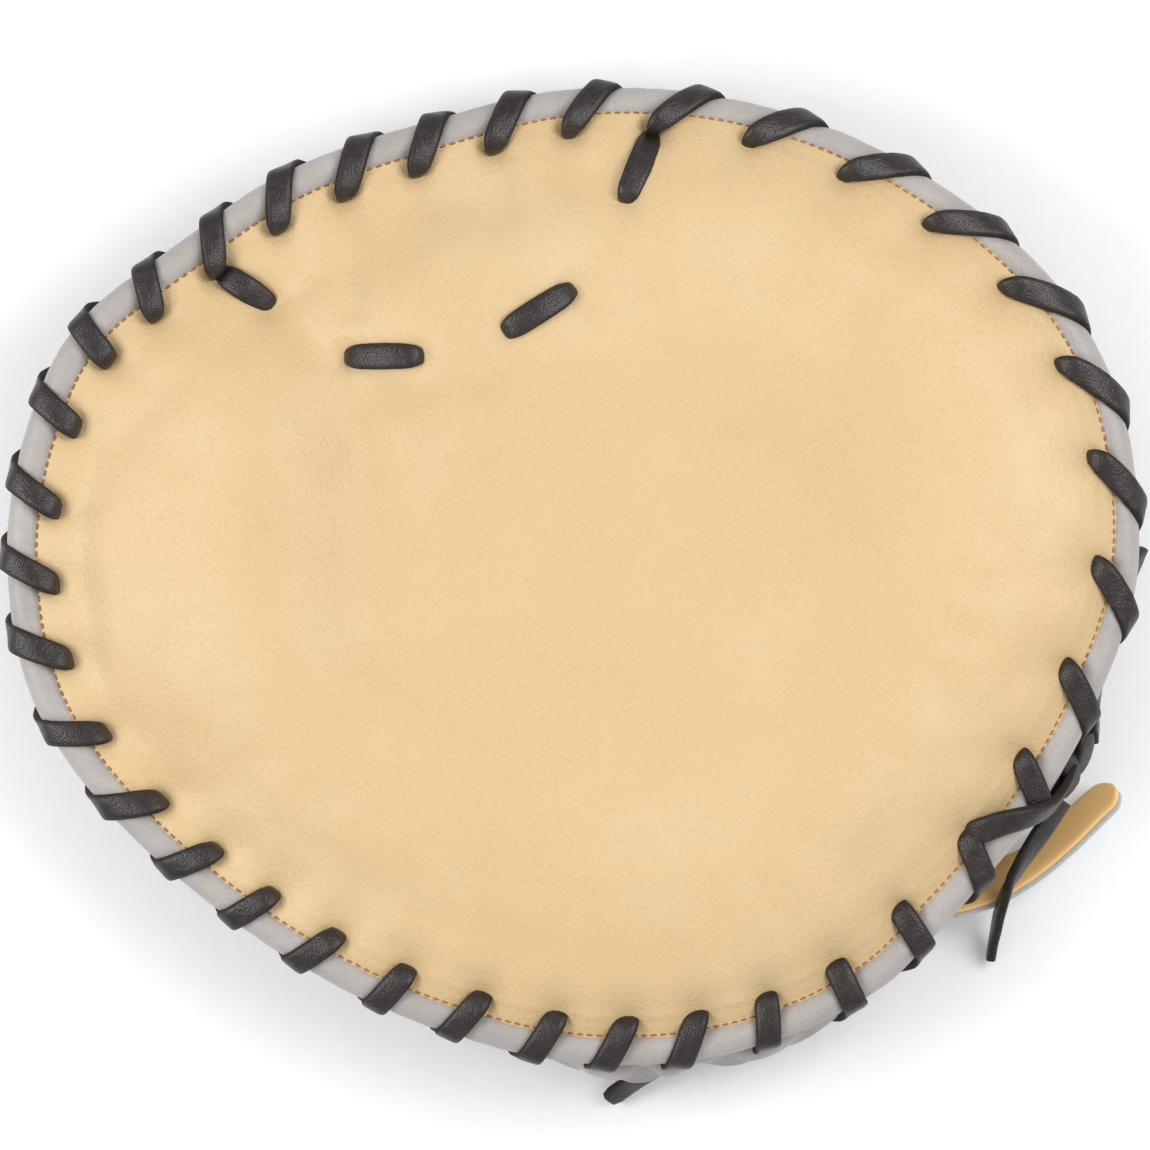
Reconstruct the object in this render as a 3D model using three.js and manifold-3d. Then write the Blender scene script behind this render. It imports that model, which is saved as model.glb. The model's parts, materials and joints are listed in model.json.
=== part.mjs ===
// Round flat training glove, lying palm up on the back of its shell.
// X runs from the thumb side to the little finger side, Y from the heel to the web, Z up.
// The origin is on the floor under the middle of the palm. All lengths are millimetres.
import * as THREE from 'three';
import Module from 'manifold-3d';

const wasm = await Module();
wasm.setup();

// Overall sizes
const rimWidth = 244.5;
const rimLength = 212.9;
const seamHeight = 27;
const rimWave = 2;
const tuckAngle = 36;

// Leather thicknesses
const palmEdgeThickness = 2.4;
const palmPadThickness = 5.5;
const backThickness = 2.4;
const strapFaceThickness = 1.6;
const strapBackingThickness = 1.1;

// Palm form: the fingers' side is built up steeply round one turn and blends into the thumb side;
// ramps are shares of the way to the middle over which the pad, the valleys and the edge set in
const palmRise = 18;
const dishDepth = 6.5;
const fingerTurn = 20;
const fingerBlend = 0.6;
const padRamp = 0.14;
const valleyRamp = 0.12;
const edgeRamp = 0.04;

// Rim: two leather rolls stitched over the edges of the panels, and the band that takes the laces
const rollWidth = 6.7;
const rollHeight = 5.6;
const rollSlotDepth = 4.8;
const laceFlange = 12;
const holeInset = 10;

// Lace: a knot's strips cross within its waist, a share of their length, and the rim's knot hangs a
// share of the lace's height below the seam. A stitch bends and ends by shares of the thickness.
const laceWidth = 5.6;
const laceThickness = 2.3;
const laceSlack = 1;
const tailWidth = 5;
const knotLength = 12;
const knotStagger = 1.5;
const knotWaist = 0.45;
const knotDrop = 0.9;
const stitchLift = 0.3;
const stitchArch = 0.5;
const stitchBend = 0.6;
const stitchEnd = 0.9;
const slotGap = 0.5;
const seatGap = 0.3;
const holeGap = 0.35;

// Hand opening in the back: an oval whose ends are blunter than an ellipse's, with a roll of leather
// that reaches over the shell by a share of its own width
const openingFromSide = 71.25;
const openingFromHeel = 64.95;
const openingLength = 74;
const openingWidth = 48;
const openingTurn = 27;
const openingBlunt = 0.92;
const openingRollWidth = 5.2;
const openingRollHeight = 4.7;
const openingRollHold = 0.7;

// Wrist strap
const strapWidth = 20;

// Steps of the faceted surfaces
const rimSteps = 40;
const openingSteps = 20;
const strapSteps = 21;

const tan = { color: 0xecc892, roughness: 0.55, metalness: 0 };
const grey = { color: 0xcac3bd, roughness: 0.6, metalness: 0 };
const black = { color: 0x1d1a19, roughness: 0.5, metalness: 0 };

const openingX = rimWidth / 2 - openingFromSide;
const openingY = openingFromHeel - rimLength / 2;

// Heights across the rim, measured from the seam between the two rolls
const rollCentre = seatGap / 2 + rollHeight / 2;
const rollTop = seatGap / 2 + rollHeight;
const laceOver = rollTop + laceSlack + laceThickness / 2;
const laceOut = laceSlack + laceThickness / 2;
const laceLayer = laceThickness + 2 * seatGap;

// The outline seen from above: reach is a share of the half sizes, tuck how far the rim rolls
// under as a share of the tuck angle, sway how far it rises as a share of the rim's wave
const rimRows = [
  { turn: 0, reach: 0.992, tuck: 0.5, sway: 0.3 },
  { turn: 10, reach: 1.008, tuck: 0.7, sway: 0.5 },
  { turn: 22, reach: 1.03, tuck: 0.75, sway: 0.7 },
  { turn: 34, reach: 1.04, tuck: 0.7, sway: 0.6 },
  { turn: 50, reach: 1.03, tuck: 0.8, sway: 0.2 },
  { turn: 72, reach: 1.018, tuck: 0.9, sway: -0.5 },
  { turn: 90, reach: 0.997, tuck: 0.55, sway: -0.8 },
  { turn: 106, reach: 0.966, tuck: 0.2, sway: -0.4 },
  { turn: 122, reach: 0.973, tuck: 0, sway: 0.2 },
  { turn: 136, reach: 0.978, tuck: 0, sway: 0.6 },
  { turn: 150, reach: 1.02, tuck: 0, sway: 0.8 },
  { turn: 163, reach: 1.015, tuck: 0, sway: 0.5 },
  { turn: 180, reach: 1.002, tuck: 0, sway: 0 },
  { turn: 195, reach: 0.987, tuck: 0, sway: -0.4 },
  { turn: 210, reach: 0.949, tuck: 0.1, sway: -0.6 },
  { turn: 224, reach: 0.922, tuck: 0.3, sway: -0.4 },
  { turn: 238, reach: 0.92, tuck: 0.35, sway: 0 },
  { turn: 255, reach: 0.942, tuck: 0.3, sway: 0.5 },
  { turn: 270, reach: 0.978, tuck: 0.15, sway: 0.8 },
  { turn: 285, reach: 0.998, tuck: 0, sway: 0.6 },
  { turn: 302, reach: 0.99, tuck: 0, sway: 0.2 },
  { turn: 315, reach: 0.953, tuck: 0.05, sway: -0.2 },
  { turn: 330, reach: 0.942, tuck: 0.2, sway: -0.3 },
  { turn: 346, reach: 0.956, tuck: 0.4, sway: 0 },
];

// The palm from its laced band inward: in is a share of the way to the middle, climb a share of
// the rise to the crown on the thumb side and on the finger side, sink a share of the dish
const palmRows = [
  { in: 0, thumb: 0, finger: 0, sink: 0 },
  { in: 0.05, thumb: 0.02, finger: 0.34, sink: 0 },
  { in: 0.11, thumb: 0.26, finger: 0.66, sink: 0 },
  { in: 0.19, thumb: 0.68, finger: 0.88, sink: 0 },
  { in: 0.29, thumb: 0.95, finger: 0.98, sink: 0.03 },
  { in: 0.42, thumb: 1, finger: 1, sink: 0.22 },
  { in: 0.58, thumb: 1, finger: 1, sink: 0.58 },
  { in: 0.78, thumb: 1, finger: 1, sink: 0.9 },
  { in: 1, thumb: 1, finger: 1, sink: 1 },
];

// Valleys in the palm: ends as shares of the half sizes, breadth of the half width, depth of
// the palm's rise
const palmValleys = [
  { x1: -0.6, y1: 0.62, x2: -0.42, y2: 0.33, breadth: 0.13, depth: 0.17 },
  { x1: -0.42, y1: 0.33, x2: -0.45, y2: 0.02, breadth: 0.13, depth: 0.15 },
  { x1: 0.04, y1: 0.9, x2: 0.05, y2: 0.58, breadth: 0.09, depth: 0.11 },
  { x1: -0.4, y1: 0.83, x2: -0.36, y2: 0.72, breadth: 0.05, depth: 0.06 },
  { x1: -0.15, y1: 0.86, x2: -0.13, y2: 0.74, breadth: 0.05, depth: 0.07 },
];

// The back shell from its laced band inward: drop is a share of the way down to the floor
const backRows = [
  { in: 0, drop: 0 },
  { in: 0.06, drop: 0.16 },
  { in: 0.13, drop: 0.4 },
  { in: 0.22, drop: 0.66 },
  { in: 0.34, drop: 0.88 },
  { in: 0.48, drop: 1 },
  { in: 1, drop: 1 },
];

// Lace holes round the rim, every second one, with the lean of the lace over the rim as a share
// of the spacing. Hole 1 is at the thumb end of the web and they count clockwise from above.
const laceHoles = 36;
const holeRows = [
  { hole: 1, turn: 134.5, lean: 0.44 },
  { hole: 3, turn: 116.8, lean: 0.5 },
  { hole: 5, turn: 99.8, lean: 0.55 },
  { hole: 7, turn: 81.8, lean: 0.6 },
  { hole: 9, turn: 60.5, lean: 0.66 },
  { hole: 11, turn: 38.8, lean: 0.8 },
  { hole: 13, turn: 15, lean: 0.6 },
  { hole: 15, turn: 347.5, lean: 0.45 },
  { hole: 17, turn: 322.8, lean: 0.34 },
  { hole: 19, turn: 300.3, lean: 0.06 },
  { hole: 21, turn: 283.5, lean: 0.4 },
  { hole: 23, turn: 267.5, lean: 0.27 },
  { hole: 25, turn: 249.5, lean: 0.24 },
  { hole: 27, turn: 230.8, lean: 0.32 },
  { hole: 29, turn: 213, lean: 0.42 },
  { hole: 31, turn: 191, lean: 0.44 },
  { hole: 33, turn: 171.2, lean: 0.36 },
  { hole: 35, turn: 150.6, lean: 0.2 },
];

// One turn of the lace from a hole over the rolls and back below them to the next hole. In is a
// share of the hole's inset, out of the stand-off beyond the rolls, up of the height over the
// rolls, and along goes from the hole (0) over the outer edge (1) to the next hole (2)
const laceTurnRows = [
  { in: 1, out: 0, up: 0.68, along: 0 },
  { in: 0.76, out: 0, up: 1, along: 0.3 },
  { in: 0.27, out: 0, up: 1, along: 0.62 },
  { in: 0, out: 0.55, up: 0.72, along: 0.86 },
  { in: 0, out: 1, up: 0, along: 1 },
  { in: 0, out: 0.55, up: -0.72, along: 1.14 },
  { in: 0.27, out: 0, up: -1, along: 1.38 },
  { in: 0.76, out: 0, up: -1, along: 1.7 },
  { in: 1, out: 0, up: -0.68, along: 2 },
];

// The lace end that crosses back over the rim, from beside hole 17 to the knot, outside the lace's
// last turn: layer counts lace thicknesses beyond that turn
const crossingRows = [
  { turn: 326.2, in: 1, out: 0, layer: 0, up: -0.2 },
  { turn: 326.2, in: 1, out: 0, layer: 0, up: 0.68 },
  { turn: 326.5, in: 0.74, out: 0, layer: 0, up: 1 },
  { turn: 326.8, in: 0.2, out: 0, layer: 0, up: 1.04 },
  { turn: 327.2, in: 0, out: 0.93, layer: 0, up: 0.85 },
  { turn: 328.3, in: 0, out: 1, layer: 0.88, up: 0.45 },
  { turn: 331, in: 0, out: 1, layer: 1.05, up: 0.1 },
  { turn: 333.2, in: 0, out: 1, layer: 1.05, up: -0.04 },
  { turn: 335, in: 0, out: 1, layer: 1, up: -0.06 },
];

// The wrist strap from its root on the back shell to its free tip: x and y are shares of the
// half sizes, up of the seam height, wide of the strap's width, tilt is in degrees
const strapRows = [
  { x: -0.07, y: -0.64, up: 0.164, wide: 0.62, tilt: 22 },
  { x: 0, y: -0.66, up: 0.184, wide: 0.76, tilt: 22 },
  { x: 0.1, y: -0.685, up: 0.196, wide: 0.9, tilt: 22 },
  { x: 0.24, y: -0.705, up: 0.215, wide: 1, tilt: 24 },
  { x: 0.4, y: -0.71, up: 0.25, wide: 0.98, tilt: 32 },
  { x: 0.54, y: -0.695, up: 0.28, wide: 0.9, tilt: 43 },
  { x: 0.67, y: -0.645, up: 0.29, wide: 0.78, tilt: 52 },
  { x: 0.78, y: -0.565, up: 0.3, wide: 0.7, tilt: 58 },
  { x: 0.87, y: -0.49, up: 0.31, wide: 0.64, tilt: 62 },
  { x: 0.94, y: -0.43, up: 0.32, wide: 0.56, tilt: 64 },
  { x: 0.965, y: -0.408, up: 0.325, wide: 0.3, tilt: 64 },
];

// Laces that cross the palm, with both ends as shares of the half sizes
const palmLaceRows = [
  { name: 'web_tie_thumb', x1: -0.61, y1: 0.595, x2: -0.535, y2: 0.558 },
  { name: 'web_tie_index', x1: 0.1325, y1: 0.8625, x2: 0.095, y2: 0.778 },
  { name: 'palm_stitch_thumb', x1: -0.398, y1: 0.451, x2: -0.272, y2: 0.451 },
  { name: 'palm_stitch_index', x1: -0.119, y1: 0.502, x2: -0.007, y2: 0.584 },
];

// Free ends of lace: points in millimetres, chosen by hand
const longTailPoints = [
  [105.9, -47.8, 19.6], [102.8, -52.8, 19.8], [99.5, -57.6, 19.9], [96.6, -62.2, 19.4], [94.2, -67, 17.8],
  [92.8, -72.2, 13], [92, -77.4, 7], [91.4, -82.6, 2.4],
];
const rimTailPoints = [
  [112.7, -34.2, 19], [113, -31.4, 16.8], [113.2, -27, 14.8], [114.2, -20.6, 14.2], [115.8, -13.4, 14.2],
  [117.8, -6.6, 14.8], [120.2, -0.4, 17], [123, 6.6, 20.4],
];
// The heel tail's points are measured from the heel knot's middle
const heelTailSteps = [
  [-6.4, -3.1, -1.7], [-10.4, -5.7, -3.9], [-15.4, -9.1, -7.9], [-19.2, -11.9, -11.3],
  [-22.6, -14.5, -13.1],
];

const radians = THREE.MathUtils.degToRad;
const mix = THREE.MathUtils.lerp;
const ease = THREE.MathUtils.smoothstep;

// A smooth curve through table values, with slopes from each value's neighbours
function hermite(share, span, before, after, slopeBefore, slopeAfter) {
  const s2 = share * share;
  const s3 = s2 * share;
  return (2 * s3 - 3 * s2 + 1) * before + (s3 - 2 * s2 + share) * span * slopeBefore
    + (3 * s2 - 2 * s3) * after + (s3 - s2) * span * slopeAfter;
}

function around(rows, column, turn) {
  const count = rows.length;
  const wrapped = THREE.MathUtils.euclideanModulo(turn, 360);
  const row = index => rows[THREE.MathUtils.euclideanModulo(index, count)];
  const angle = index => row(index).turn + 360 * Math.floor(index / count);
  const slope = index => (row(index + 1)[column] - row(index - 1)[column])
    / (angle(index + 1) - angle(index - 1));
  let i = count - 1;
  while (rows[i].turn > wrapped) i -= 1;
  const span = angle(i + 1) - angle(i);
  const share = (wrapped - angle(i)) / span;
  return hermite(share, span, row(i)[column], row(i + 1)[column], slope(i), slope(i + 1));
}

function along(rows, key, column, place) {
  const last = rows.length - 1;
  const at = THREE.MathUtils.clamp(place, rows[0][key], rows[last][key]);
  const slope = index => {
    const low = rows[Math.max(index - 1, 0)];
    const high = rows[Math.min(index + 1, last)];
    return (high[column] - low[column]) / (high[key] - low[key]);
  };
  let i = last - 1;
  while (i > 0 && rows[i][key] > at) i -= 1;
  const span = rows[i + 1][key] - rows[i][key];
  const share = (at - rows[i][key]) / span;
  return hermite(share, span, rows[i][column], rows[i + 1][column], slope(i), slope(i + 1));
}

// The rim's outer edge and its directions
function rimPoint(turn) {
  const reach = around(rimRows, 'reach', turn) / 2;
  const across = rimWidth * reach * Math.cos(radians(turn));
  const lengthwise = rimLength * reach * Math.sin(radians(turn));
  return new THREE.Vector2(across, lengthwise);
}

function rimOutward(turn) {
  const step = rimPoint(turn + 0.5).sub(rimPoint(turn - 0.5)).normalize();
  return new THREE.Vector3(step.y, -step.x, 0);
}

// A direction across the rim: inward along the laced band and up off it
function rimDirection(turn, inward, up) {
  const tuck = radians(tuckAngle * around(rimRows, 'tuck', turn));
  const outward = rimOutward(turn);
  return outward.multiplyScalar(up * Math.sin(tuck) - inward * Math.cos(tuck))
    .add(new THREE.Vector3(0, 0, inward * Math.sin(tuck) + up * Math.cos(tuck)));
}

// A place across the rim: inset from the outer edge of the rolls and height over their seam
function rimPlace(turn, inset, height) {
  const tuck = radians(tuckAngle * around(rimRows, 'tuck', turn));
  const rollShift = rollWidth / 2 * (1 - Math.cos(tuck)) + rollCentre * Math.sin(tuck);
  const edge = rimPoint(turn);
  const seam = seamHeight + rimWave * around(rimRows, 'sway', turn);
  return new THREE.Vector3(edge.x, edge.y, seam)
    .addScaledVector(rimOutward(turn), -rollShift)
    .add(rimDirection(turn, inset, height));
}

// Meshes and solids
function mesh(name, positions, indices, look) {
  const geometry = new THREE.BufferGeometry();
  geometry.setAttribute('position', new THREE.Float32BufferAttribute(positions, 3));
  geometry.setIndex(Array.from(indices));
  geometry.computeVertexNormals();
  const result = new THREE.Mesh(geometry, new THREE.MeshStandardMaterial(look));
  result.name = name;
  return result;
}

function solid(shape) {
  const properties = new wasm.Mesh({
    numProp: 3,
    vertProperties: new Float32Array(shape.positions),
    triVerts: new Uint32Array(shape.indices),
  });
  return new wasm.Manifold(properties);
}

function solidMesh(name, body, look) {
  const result = body.getMesh();
  return mesh(name, result.vertProperties, result.triVerts, look);
}

// A sheet between an upper and a lower surface, each given as rings from the edge inward and a
// middle point
function sheet(upperRings, upperMiddle, lowerRings, lowerMiddle) {
  const positions = [];
  const indices = [];
  const place = point => positions.push(point.x, point.y, point.z);
  const count = upperRings[0].length;
  const next = i => (i + 1) % count;
  const surface = (rings, middle, up) => {
    const base = positions.length / 3;
    rings.flat().forEach(place);
    place(middle);
    const triangle = (a, b, c) => indices.push(...(up ? [a, b, c] : [a, c, b]));
    for (let ring = 0; ring < rings.length - 1; ring += 1) {
      const outer = base + ring * count;
      const inner = outer + count;
      for (let i = 0; i < count; i += 1) {
        triangle(outer + i, outer + next(i), inner + next(i));
        triangle(outer + i, inner + next(i), inner + i);
      }
    }
    const inner = base + (rings.length - 1) * count;
    for (let i = 0; i < count; i += 1) triangle(inner + i, inner + next(i), inner + count);
    return base;
  };
  const upper = surface(upperRings, upperMiddle, true);
  const lower = surface(lowerRings, lowerMiddle, false);
  for (let i = 0; i < count; i += 1) {
    indices.push(upper + i, lower + i, lower + next(i), upper + i, lower + next(i), upper + next(i));
  }
  return { positions, indices };
}

// A section carried round a closed path: each ring lists the same points in the same order
function closedSweep(rings) {
  const positions = [];
  const indices = [];
  const size = rings[0].length;
  rings.flat().forEach(point => positions.push(point.x, point.y, point.z));
  for (let r = 0; r < rings.length; r += 1) {
    const here = r * size;
    const there = ((r + 1) % rings.length) * size;
    for (let i = 0; i < size; i += 1) {
      const j = (i + 1) % size;
      indices.push(here + i, there + j, there + i, here + i, here + j, there + j);
    }
  }
  return { positions, indices };
}

// A flat band along stations that each give a point, the direction off its face and a width
function ribbon(stations, thickness, extra = 0) {
  const positions = [];
  const indices = [];
  const last = stations.length - 1;
  stations.forEach((station, i) => {
    const ahead = stations[Math.min(i + 1, last)].point.clone();
    const forward = ahead.sub(stations[Math.max(i - 1, 0)].point).normalize();
    const side = new THREE.Vector3().crossVectors(forward, station.off).normalize();
    const off = new THREE.Vector3().crossVectors(side, forward);
    const half = station.width / 2 + extra;
    const deep = thickness / 2 + extra;
    [[half, deep], [-half, deep], [-half, -deep], [half, -deep]].forEach(([across, up]) => {
      const corner = station.point.clone().addScaledVector(side, across).addScaledVector(off, up);
      positions.push(corner.x, corner.y, corner.z);
    });
  });
  for (let i = 0; i < last; i += 1) {
    for (let a = 0; a < 4; a += 1) {
      const b = (a + 1) % 4;
      const here = 4 * i;
      const there = here + 4;
      indices.push(here + a, there + b, here + b, here + a, there + a, there + b);
    }
  }
  const end = 4 * last;
  indices.push(0, 1, 2, 0, 2, 3, end, end + 2, end + 1, end, end + 3, end + 2);
  return { positions, indices };
}

const rimTurns = Array.from({ length: rimSteps }, (_, i) => 360 * i / rimSteps);

// The two rolls of leather that bind the panels' edges, open on the inside for the panel
const rollArc = [38, 82, 128, 180, 232, 278, 322];

function rollRing(turn, centre, panelThickness) {
  const half = rollWidth / 2;
  const arc = rollArc.map(degrees => [
    half + half * Math.cos(radians(degrees)),
    rollHeight / 2 * Math.sin(radians(degrees)),
  ]);
  const slotEnd = rollWidth - rollSlotDepth;
  const slotHalf = panelThickness / 2 + slotGap;
  const section = [...arc, [slotEnd, -slotHalf], [slotEnd, slotHalf]];
  return section.map(([inset, height]) => rimPlace(turn, inset, centre + height));
}

function roll(name, centre, panelThickness) {
  const rings = rimTurns.map(turn => rollRing(turn, centre, panelThickness));
  const { positions, indices } = closedSweep(rings);
  return mesh(name, positions, indices, grey);
}

// The palm
const panelEdge = rollWidth - rollSlotDepth + seatGap;

function fingerSide(turn) {
  return ease(Math.cos(radians(turn - fingerTurn)), -fingerBlend, fingerBlend);
}

function valleyDepth(x, y) {
  const point = new THREE.Vector3(x, y, 0);
  return palmValleys.reduce((sum, valley) => {
    const line = new THREE.Line3(
      new THREE.Vector3(valley.x1 * rimWidth / 2, valley.y1 * rimLength / 2, 0),
      new THREE.Vector3(valley.x2 * rimWidth / 2, valley.y2 * rimLength / 2, 0),
    );
    const nearest = line.closestPointToPoint(point, true, new THREE.Vector3());
    const away = nearest.distanceTo(point) / (valley.breadth * rimWidth / 2);
    return sum + valley.depth * palmRise * Math.exp(-away * away);
  }, 0);
}

function palmTop(turn, share) {
  const edge = rimPlace(turn, laceFlange, rollCentre + palmEdgeThickness / 2);
  const x = edge.x * (1 - share);
  const y = edge.y * (1 - share);
  const thumb = along(palmRows, 'in', 'thumb', share);
  const finger = along(palmRows, 'in', 'finger', share);
  const climb = mix(thumb, finger, fingerSide(turn));
  const crown = seamHeight + palmRise;
  const height = mix(edge.z, crown, climb) - dishDepth * along(palmRows, 'in', 'sink', share)
    - valleyDepth(x, y) * ease(share, 0, valleyRamp);
  return new THREE.Vector3(x, y, height);
}

// The vertical thickness of a wall that slopes towards the middle
function slantedWall(surface, turn, share, wall) {
  const step = 0.02;
  const outer = surface(turn, Math.max(share - step, 0));
  const inner = surface(turn, Math.min(share + step, 1));
  const run = Math.hypot(outer.x - inner.x, outer.y - inner.y);
  return wall * Math.hypot(1, (outer.z - inner.z) / run);
}

function palmUnder(turn, share) {
  const edge = rimPlace(turn, laceFlange, rollCentre - palmEdgeThickness / 2);
  const wall = mix(palmEdgeThickness, palmPadThickness, ease(share, 0, padRamp));
  const top = palmTop(turn, share);
  const under = top.z - slantedWall(palmTop, turn, share, wall);
  const nearEdge = 1 - ease(share, 0, edgeRamp);
  return new THREE.Vector3(edge.x * (1 - share), edge.y * (1 - share), mix(under, edge.z, nearEdge));
}

function panelRings(surface, shares, height) {
  const band = [panelEdge, laceFlange].map(inset => rimTurns.map(turn => rimPlace(turn, inset, height)));
  const dome = shares.map(share => rimTurns.map(turn => surface(turn, share)));
  return [...band, ...dome];
}

const palmShares = palmRows.slice(1, -1).map(row => row.in);
const palmUnderShares = [0.06, 0.16, 0.3, 0.6];

function palmBody() {
  const upper = panelRings(palmTop, palmShares, rollCentre + palmEdgeThickness / 2);
  const lower = panelRings(palmUnder, palmUnderShares, rollCentre - palmEdgeThickness / 2);
  return solid(sheet(upper, palmTop(0, 1), lower, palmUnder(0, 1)));
}

// The back shell
function backUnder(turn, share) {
  const edge = rimPlace(turn, laceFlange, -rollCentre - backThickness / 2);
  const height = edge.z * (1 - along(backRows, 'in', 'drop', share));
  return new THREE.Vector3(edge.x * (1 - share), edge.y * (1 - share), Math.max(height, 0));
}

function backTop(turn, share) {
  const edge = rimPlace(turn, laceFlange, -rollCentre + backThickness / 2);
  const under = backUnder(turn, share);
  const top = under.z + slantedWall(backUnder, turn, share, backThickness);
  const nearEdge = 1 - ease(share, 0, edgeRamp);
  return new THREE.Vector3(edge.x * (1 - share), edge.y * (1 - share), mix(top, edge.z, nearEdge));
}

const backShares = backRows.slice(1, -1).map(row => row.in);

function backBody(extra = 0) {
  const raise = (ring, step) => ring.map(point => point.clone().setZ(point.z + step));
  const upper = panelRings(backTop, backShares, -rollCentre + backThickness / 2)
    .map(ring => raise(ring, extra));
  const lower = panelRings(backUnder, backShares, -rollCentre - backThickness / 2)
    .map(ring => raise(ring, -extra));
  const middle = backUnder(0, 1);
  return solid(sheet(
    upper,
    new THREE.Vector3(middle.x, middle.y, middle.z + backThickness + extra),
    lower,
    new THREE.Vector3(middle.x, middle.y, middle.z - extra),
  ));
}

// The back shell's height at a place, from its outer surface
function backHeight(x, y) {
  const direction = Math.atan2(y / rimLength, x / rimWidth);
  let turn = THREE.MathUtils.radToDeg(direction);
  for (let pass = 0; pass < 6; pass += 1) {
    const edge = rimPlace(turn, laceFlange, -rollCentre - backThickness / 2);
    const error = Math.atan2(y, x) - Math.atan2(edge.y, edge.x);
    turn += THREE.MathUtils.radToDeg(Math.atan2(Math.sin(error), Math.cos(error)));
  }
  const edge = rimPlace(turn, laceFlange, -rollCentre - backThickness / 2);
  return backUnder(turn, Math.max(1 - Math.hypot(x, y) / Math.hypot(edge.x, edge.y), 0)).z;
}

// The hand opening's outline
function openingPoint(degrees, grow) {
  const a = radians(degrees);
  const blunt = value => Math.sign(value) * Math.abs(value) ** openingBlunt;
  const long = (openingLength / 2 + grow) * blunt(Math.cos(a));
  const short = (openingWidth / 2 + grow) * blunt(Math.sin(a));
  const twist = radians(openingTurn);
  return new THREE.Vector2(
    openingX + long * Math.cos(twist) - short * Math.sin(twist),
    openingY + long * Math.sin(twist) + short * Math.cos(twist),
  );
}

const openingAngles = Array.from({ length: openingSteps }, (_, i) => 360 * (i + 0.5) / openingSteps);

function openingPrism(grow) {
  const outline = new THREE.Shape(openingAngles.map(degrees => openingPoint(degrees, grow)));
  const depth = seamHeight + laceFlange;
  const geometry = new THREE.ExtrudeGeometry(outline, { depth, bevelEnabled: false });
  geometry.translate(0, 0, -laceFlange / 2);
  const { positions, indices } = welded(geometry);
  return solid({ positions, indices });
}

// A geometry's shared corners joined by their place
function welded(geometry) {
  const source = geometry.index ? geometry.toNonIndexed() : geometry;
  const place = source.getAttribute('position');
  const seen = new Map();
  const positions = [];
  const indices = [];
  for (let i = 0; i < place.count; i += 1) {
    const corner = [place.getX(i), place.getY(i), place.getZ(i)];
    const key = corner.map(value => Math.round(value * 1e4)).join(',');
    if (!seen.has(key)) {
      seen.set(key, positions.length / 3);
      positions.push(...corner);
    }
    indices.push(seen.get(key));
  }
  return { positions, indices };
}

// The roll that binds the opening's edge, slotted over the shell
const openingArc = [0, 300, 240, 180, 120, 60];

function openingBinding() {
  const coreGrow = (openingRollHold - 0.5) * openingRollWidth;
  const rings = openingAngles.map(degrees => openingArc.map(step => {
    const inset = openingRollWidth / 2 * Math.cos(radians(step));
    const up = openingRollHeight / 2 * Math.sin(radians(step));
    const core = openingPoint(degrees, coreGrow);
    const place = openingPoint(degrees, coreGrow + inset);
    return new THREE.Vector3(place.x, place.y, backHeight(core.x, core.y) + backThickness / 2 + up);
  }));
  return solid(closedSweep(rings)).subtract(backBody(seatGap).subtract(openingPrism(-seatGap)));
}

// The lace holes' turns, falling all the way round, with a neighbour before the first and two after
// the last
function laterHole(row, rounds) {
  return { ...row, hole: row.hole + rounds * laceHoles, turn: row.turn - 360 * rounds };
}

const fallingHoles = holeRows.map(row => {
  const turn = row.turn > holeRows[0].turn ? row.turn - 360 : row.turn;
  return { ...row, turn };
});
const holeLine = [
  laterHole(fallingHoles.at(-1), -1),
  ...fallingHoles,
  laterHole(fallingHoles[0], 1),
  laterHole(fallingHoles[1], 1),
];

function holeTurn(hole) {
  const round = Math.floor((hole - 1) / laceHoles);
  const place = hole - round * laceHoles;
  return {
    turn: along(holeLine, 'hole', 'turn', place) - 360 * round,
    lean: along(holeLine, 'hole', 'lean', place),
  };
}

function laceStation(hole, row) {
  const here = holeTurn(hole);
  const there = holeTurn(hole + 1);
  const outerTurn = mix(here.turn, there.turn, here.lean);
  const turn = row.along < 1
    ? mix(here.turn, outerTurn, row.along)
    : mix(outerTurn, there.turn, row.along - 1);
  const inset = row.in * holeInset - row.out * laceOut;
  const height = row.up * laceOver;
  const off = rimDirection(turn, inset - rollWidth / 2, height);
  return { point: rimPlace(turn, inset, height), off, width: laceWidth };
}

// The lace starts below the rim before the first hole and stops below it after the last one
const firstHole = 17;

function edgeLaceStations() {
  const leadIn = laceTurnRows.slice(7).map(row => laceStation(firstHole - 1, row));
  const turns = [];
  for (let k = 0; k < laceHoles - 1; k += 1) {
    laceTurnRows.forEach(row => turns.push(laceStation(firstHole + k, row)));
  }
  const leadOut = laceTurnRows.slice(0, 6).map(row => laceStation(firstHole + laceHoles - 1, row));
  return [...leadIn, ...turns, ...leadOut];
}

// Where a place on the palm lies: the rim's turn and the share of the way to the middle
function palmPlace(x, y) {
  let turn = THREE.MathUtils.radToDeg(Math.atan2(y / rimLength, x / rimWidth));
  const edgeAt = angle => rimPlace(angle, laceFlange, rollCentre + palmEdgeThickness / 2);
  for (let pass = 0; pass < 6; pass += 1) {
    const edge = edgeAt(turn);
    const error = Math.atan2(y, x) - Math.atan2(edge.y, edge.x);
    turn += THREE.MathUtils.radToDeg(Math.atan2(Math.sin(error), Math.cos(error)));
  }
  const edge = edgeAt(turn);
  return { turn, share: Math.max(1 - Math.hypot(x, y) / Math.hypot(edge.x, edge.y), 0) };
}

function palmHeight(x, y) {
  const { turn, share } = palmPlace(x, y);
  return palmTop(turn, share).z;
}

function palmWall(x, y) {
  const { turn, share } = palmPlace(x, y);
  return palmTop(turn, share).z - palmUnder(turn, share).z;
}

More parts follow.
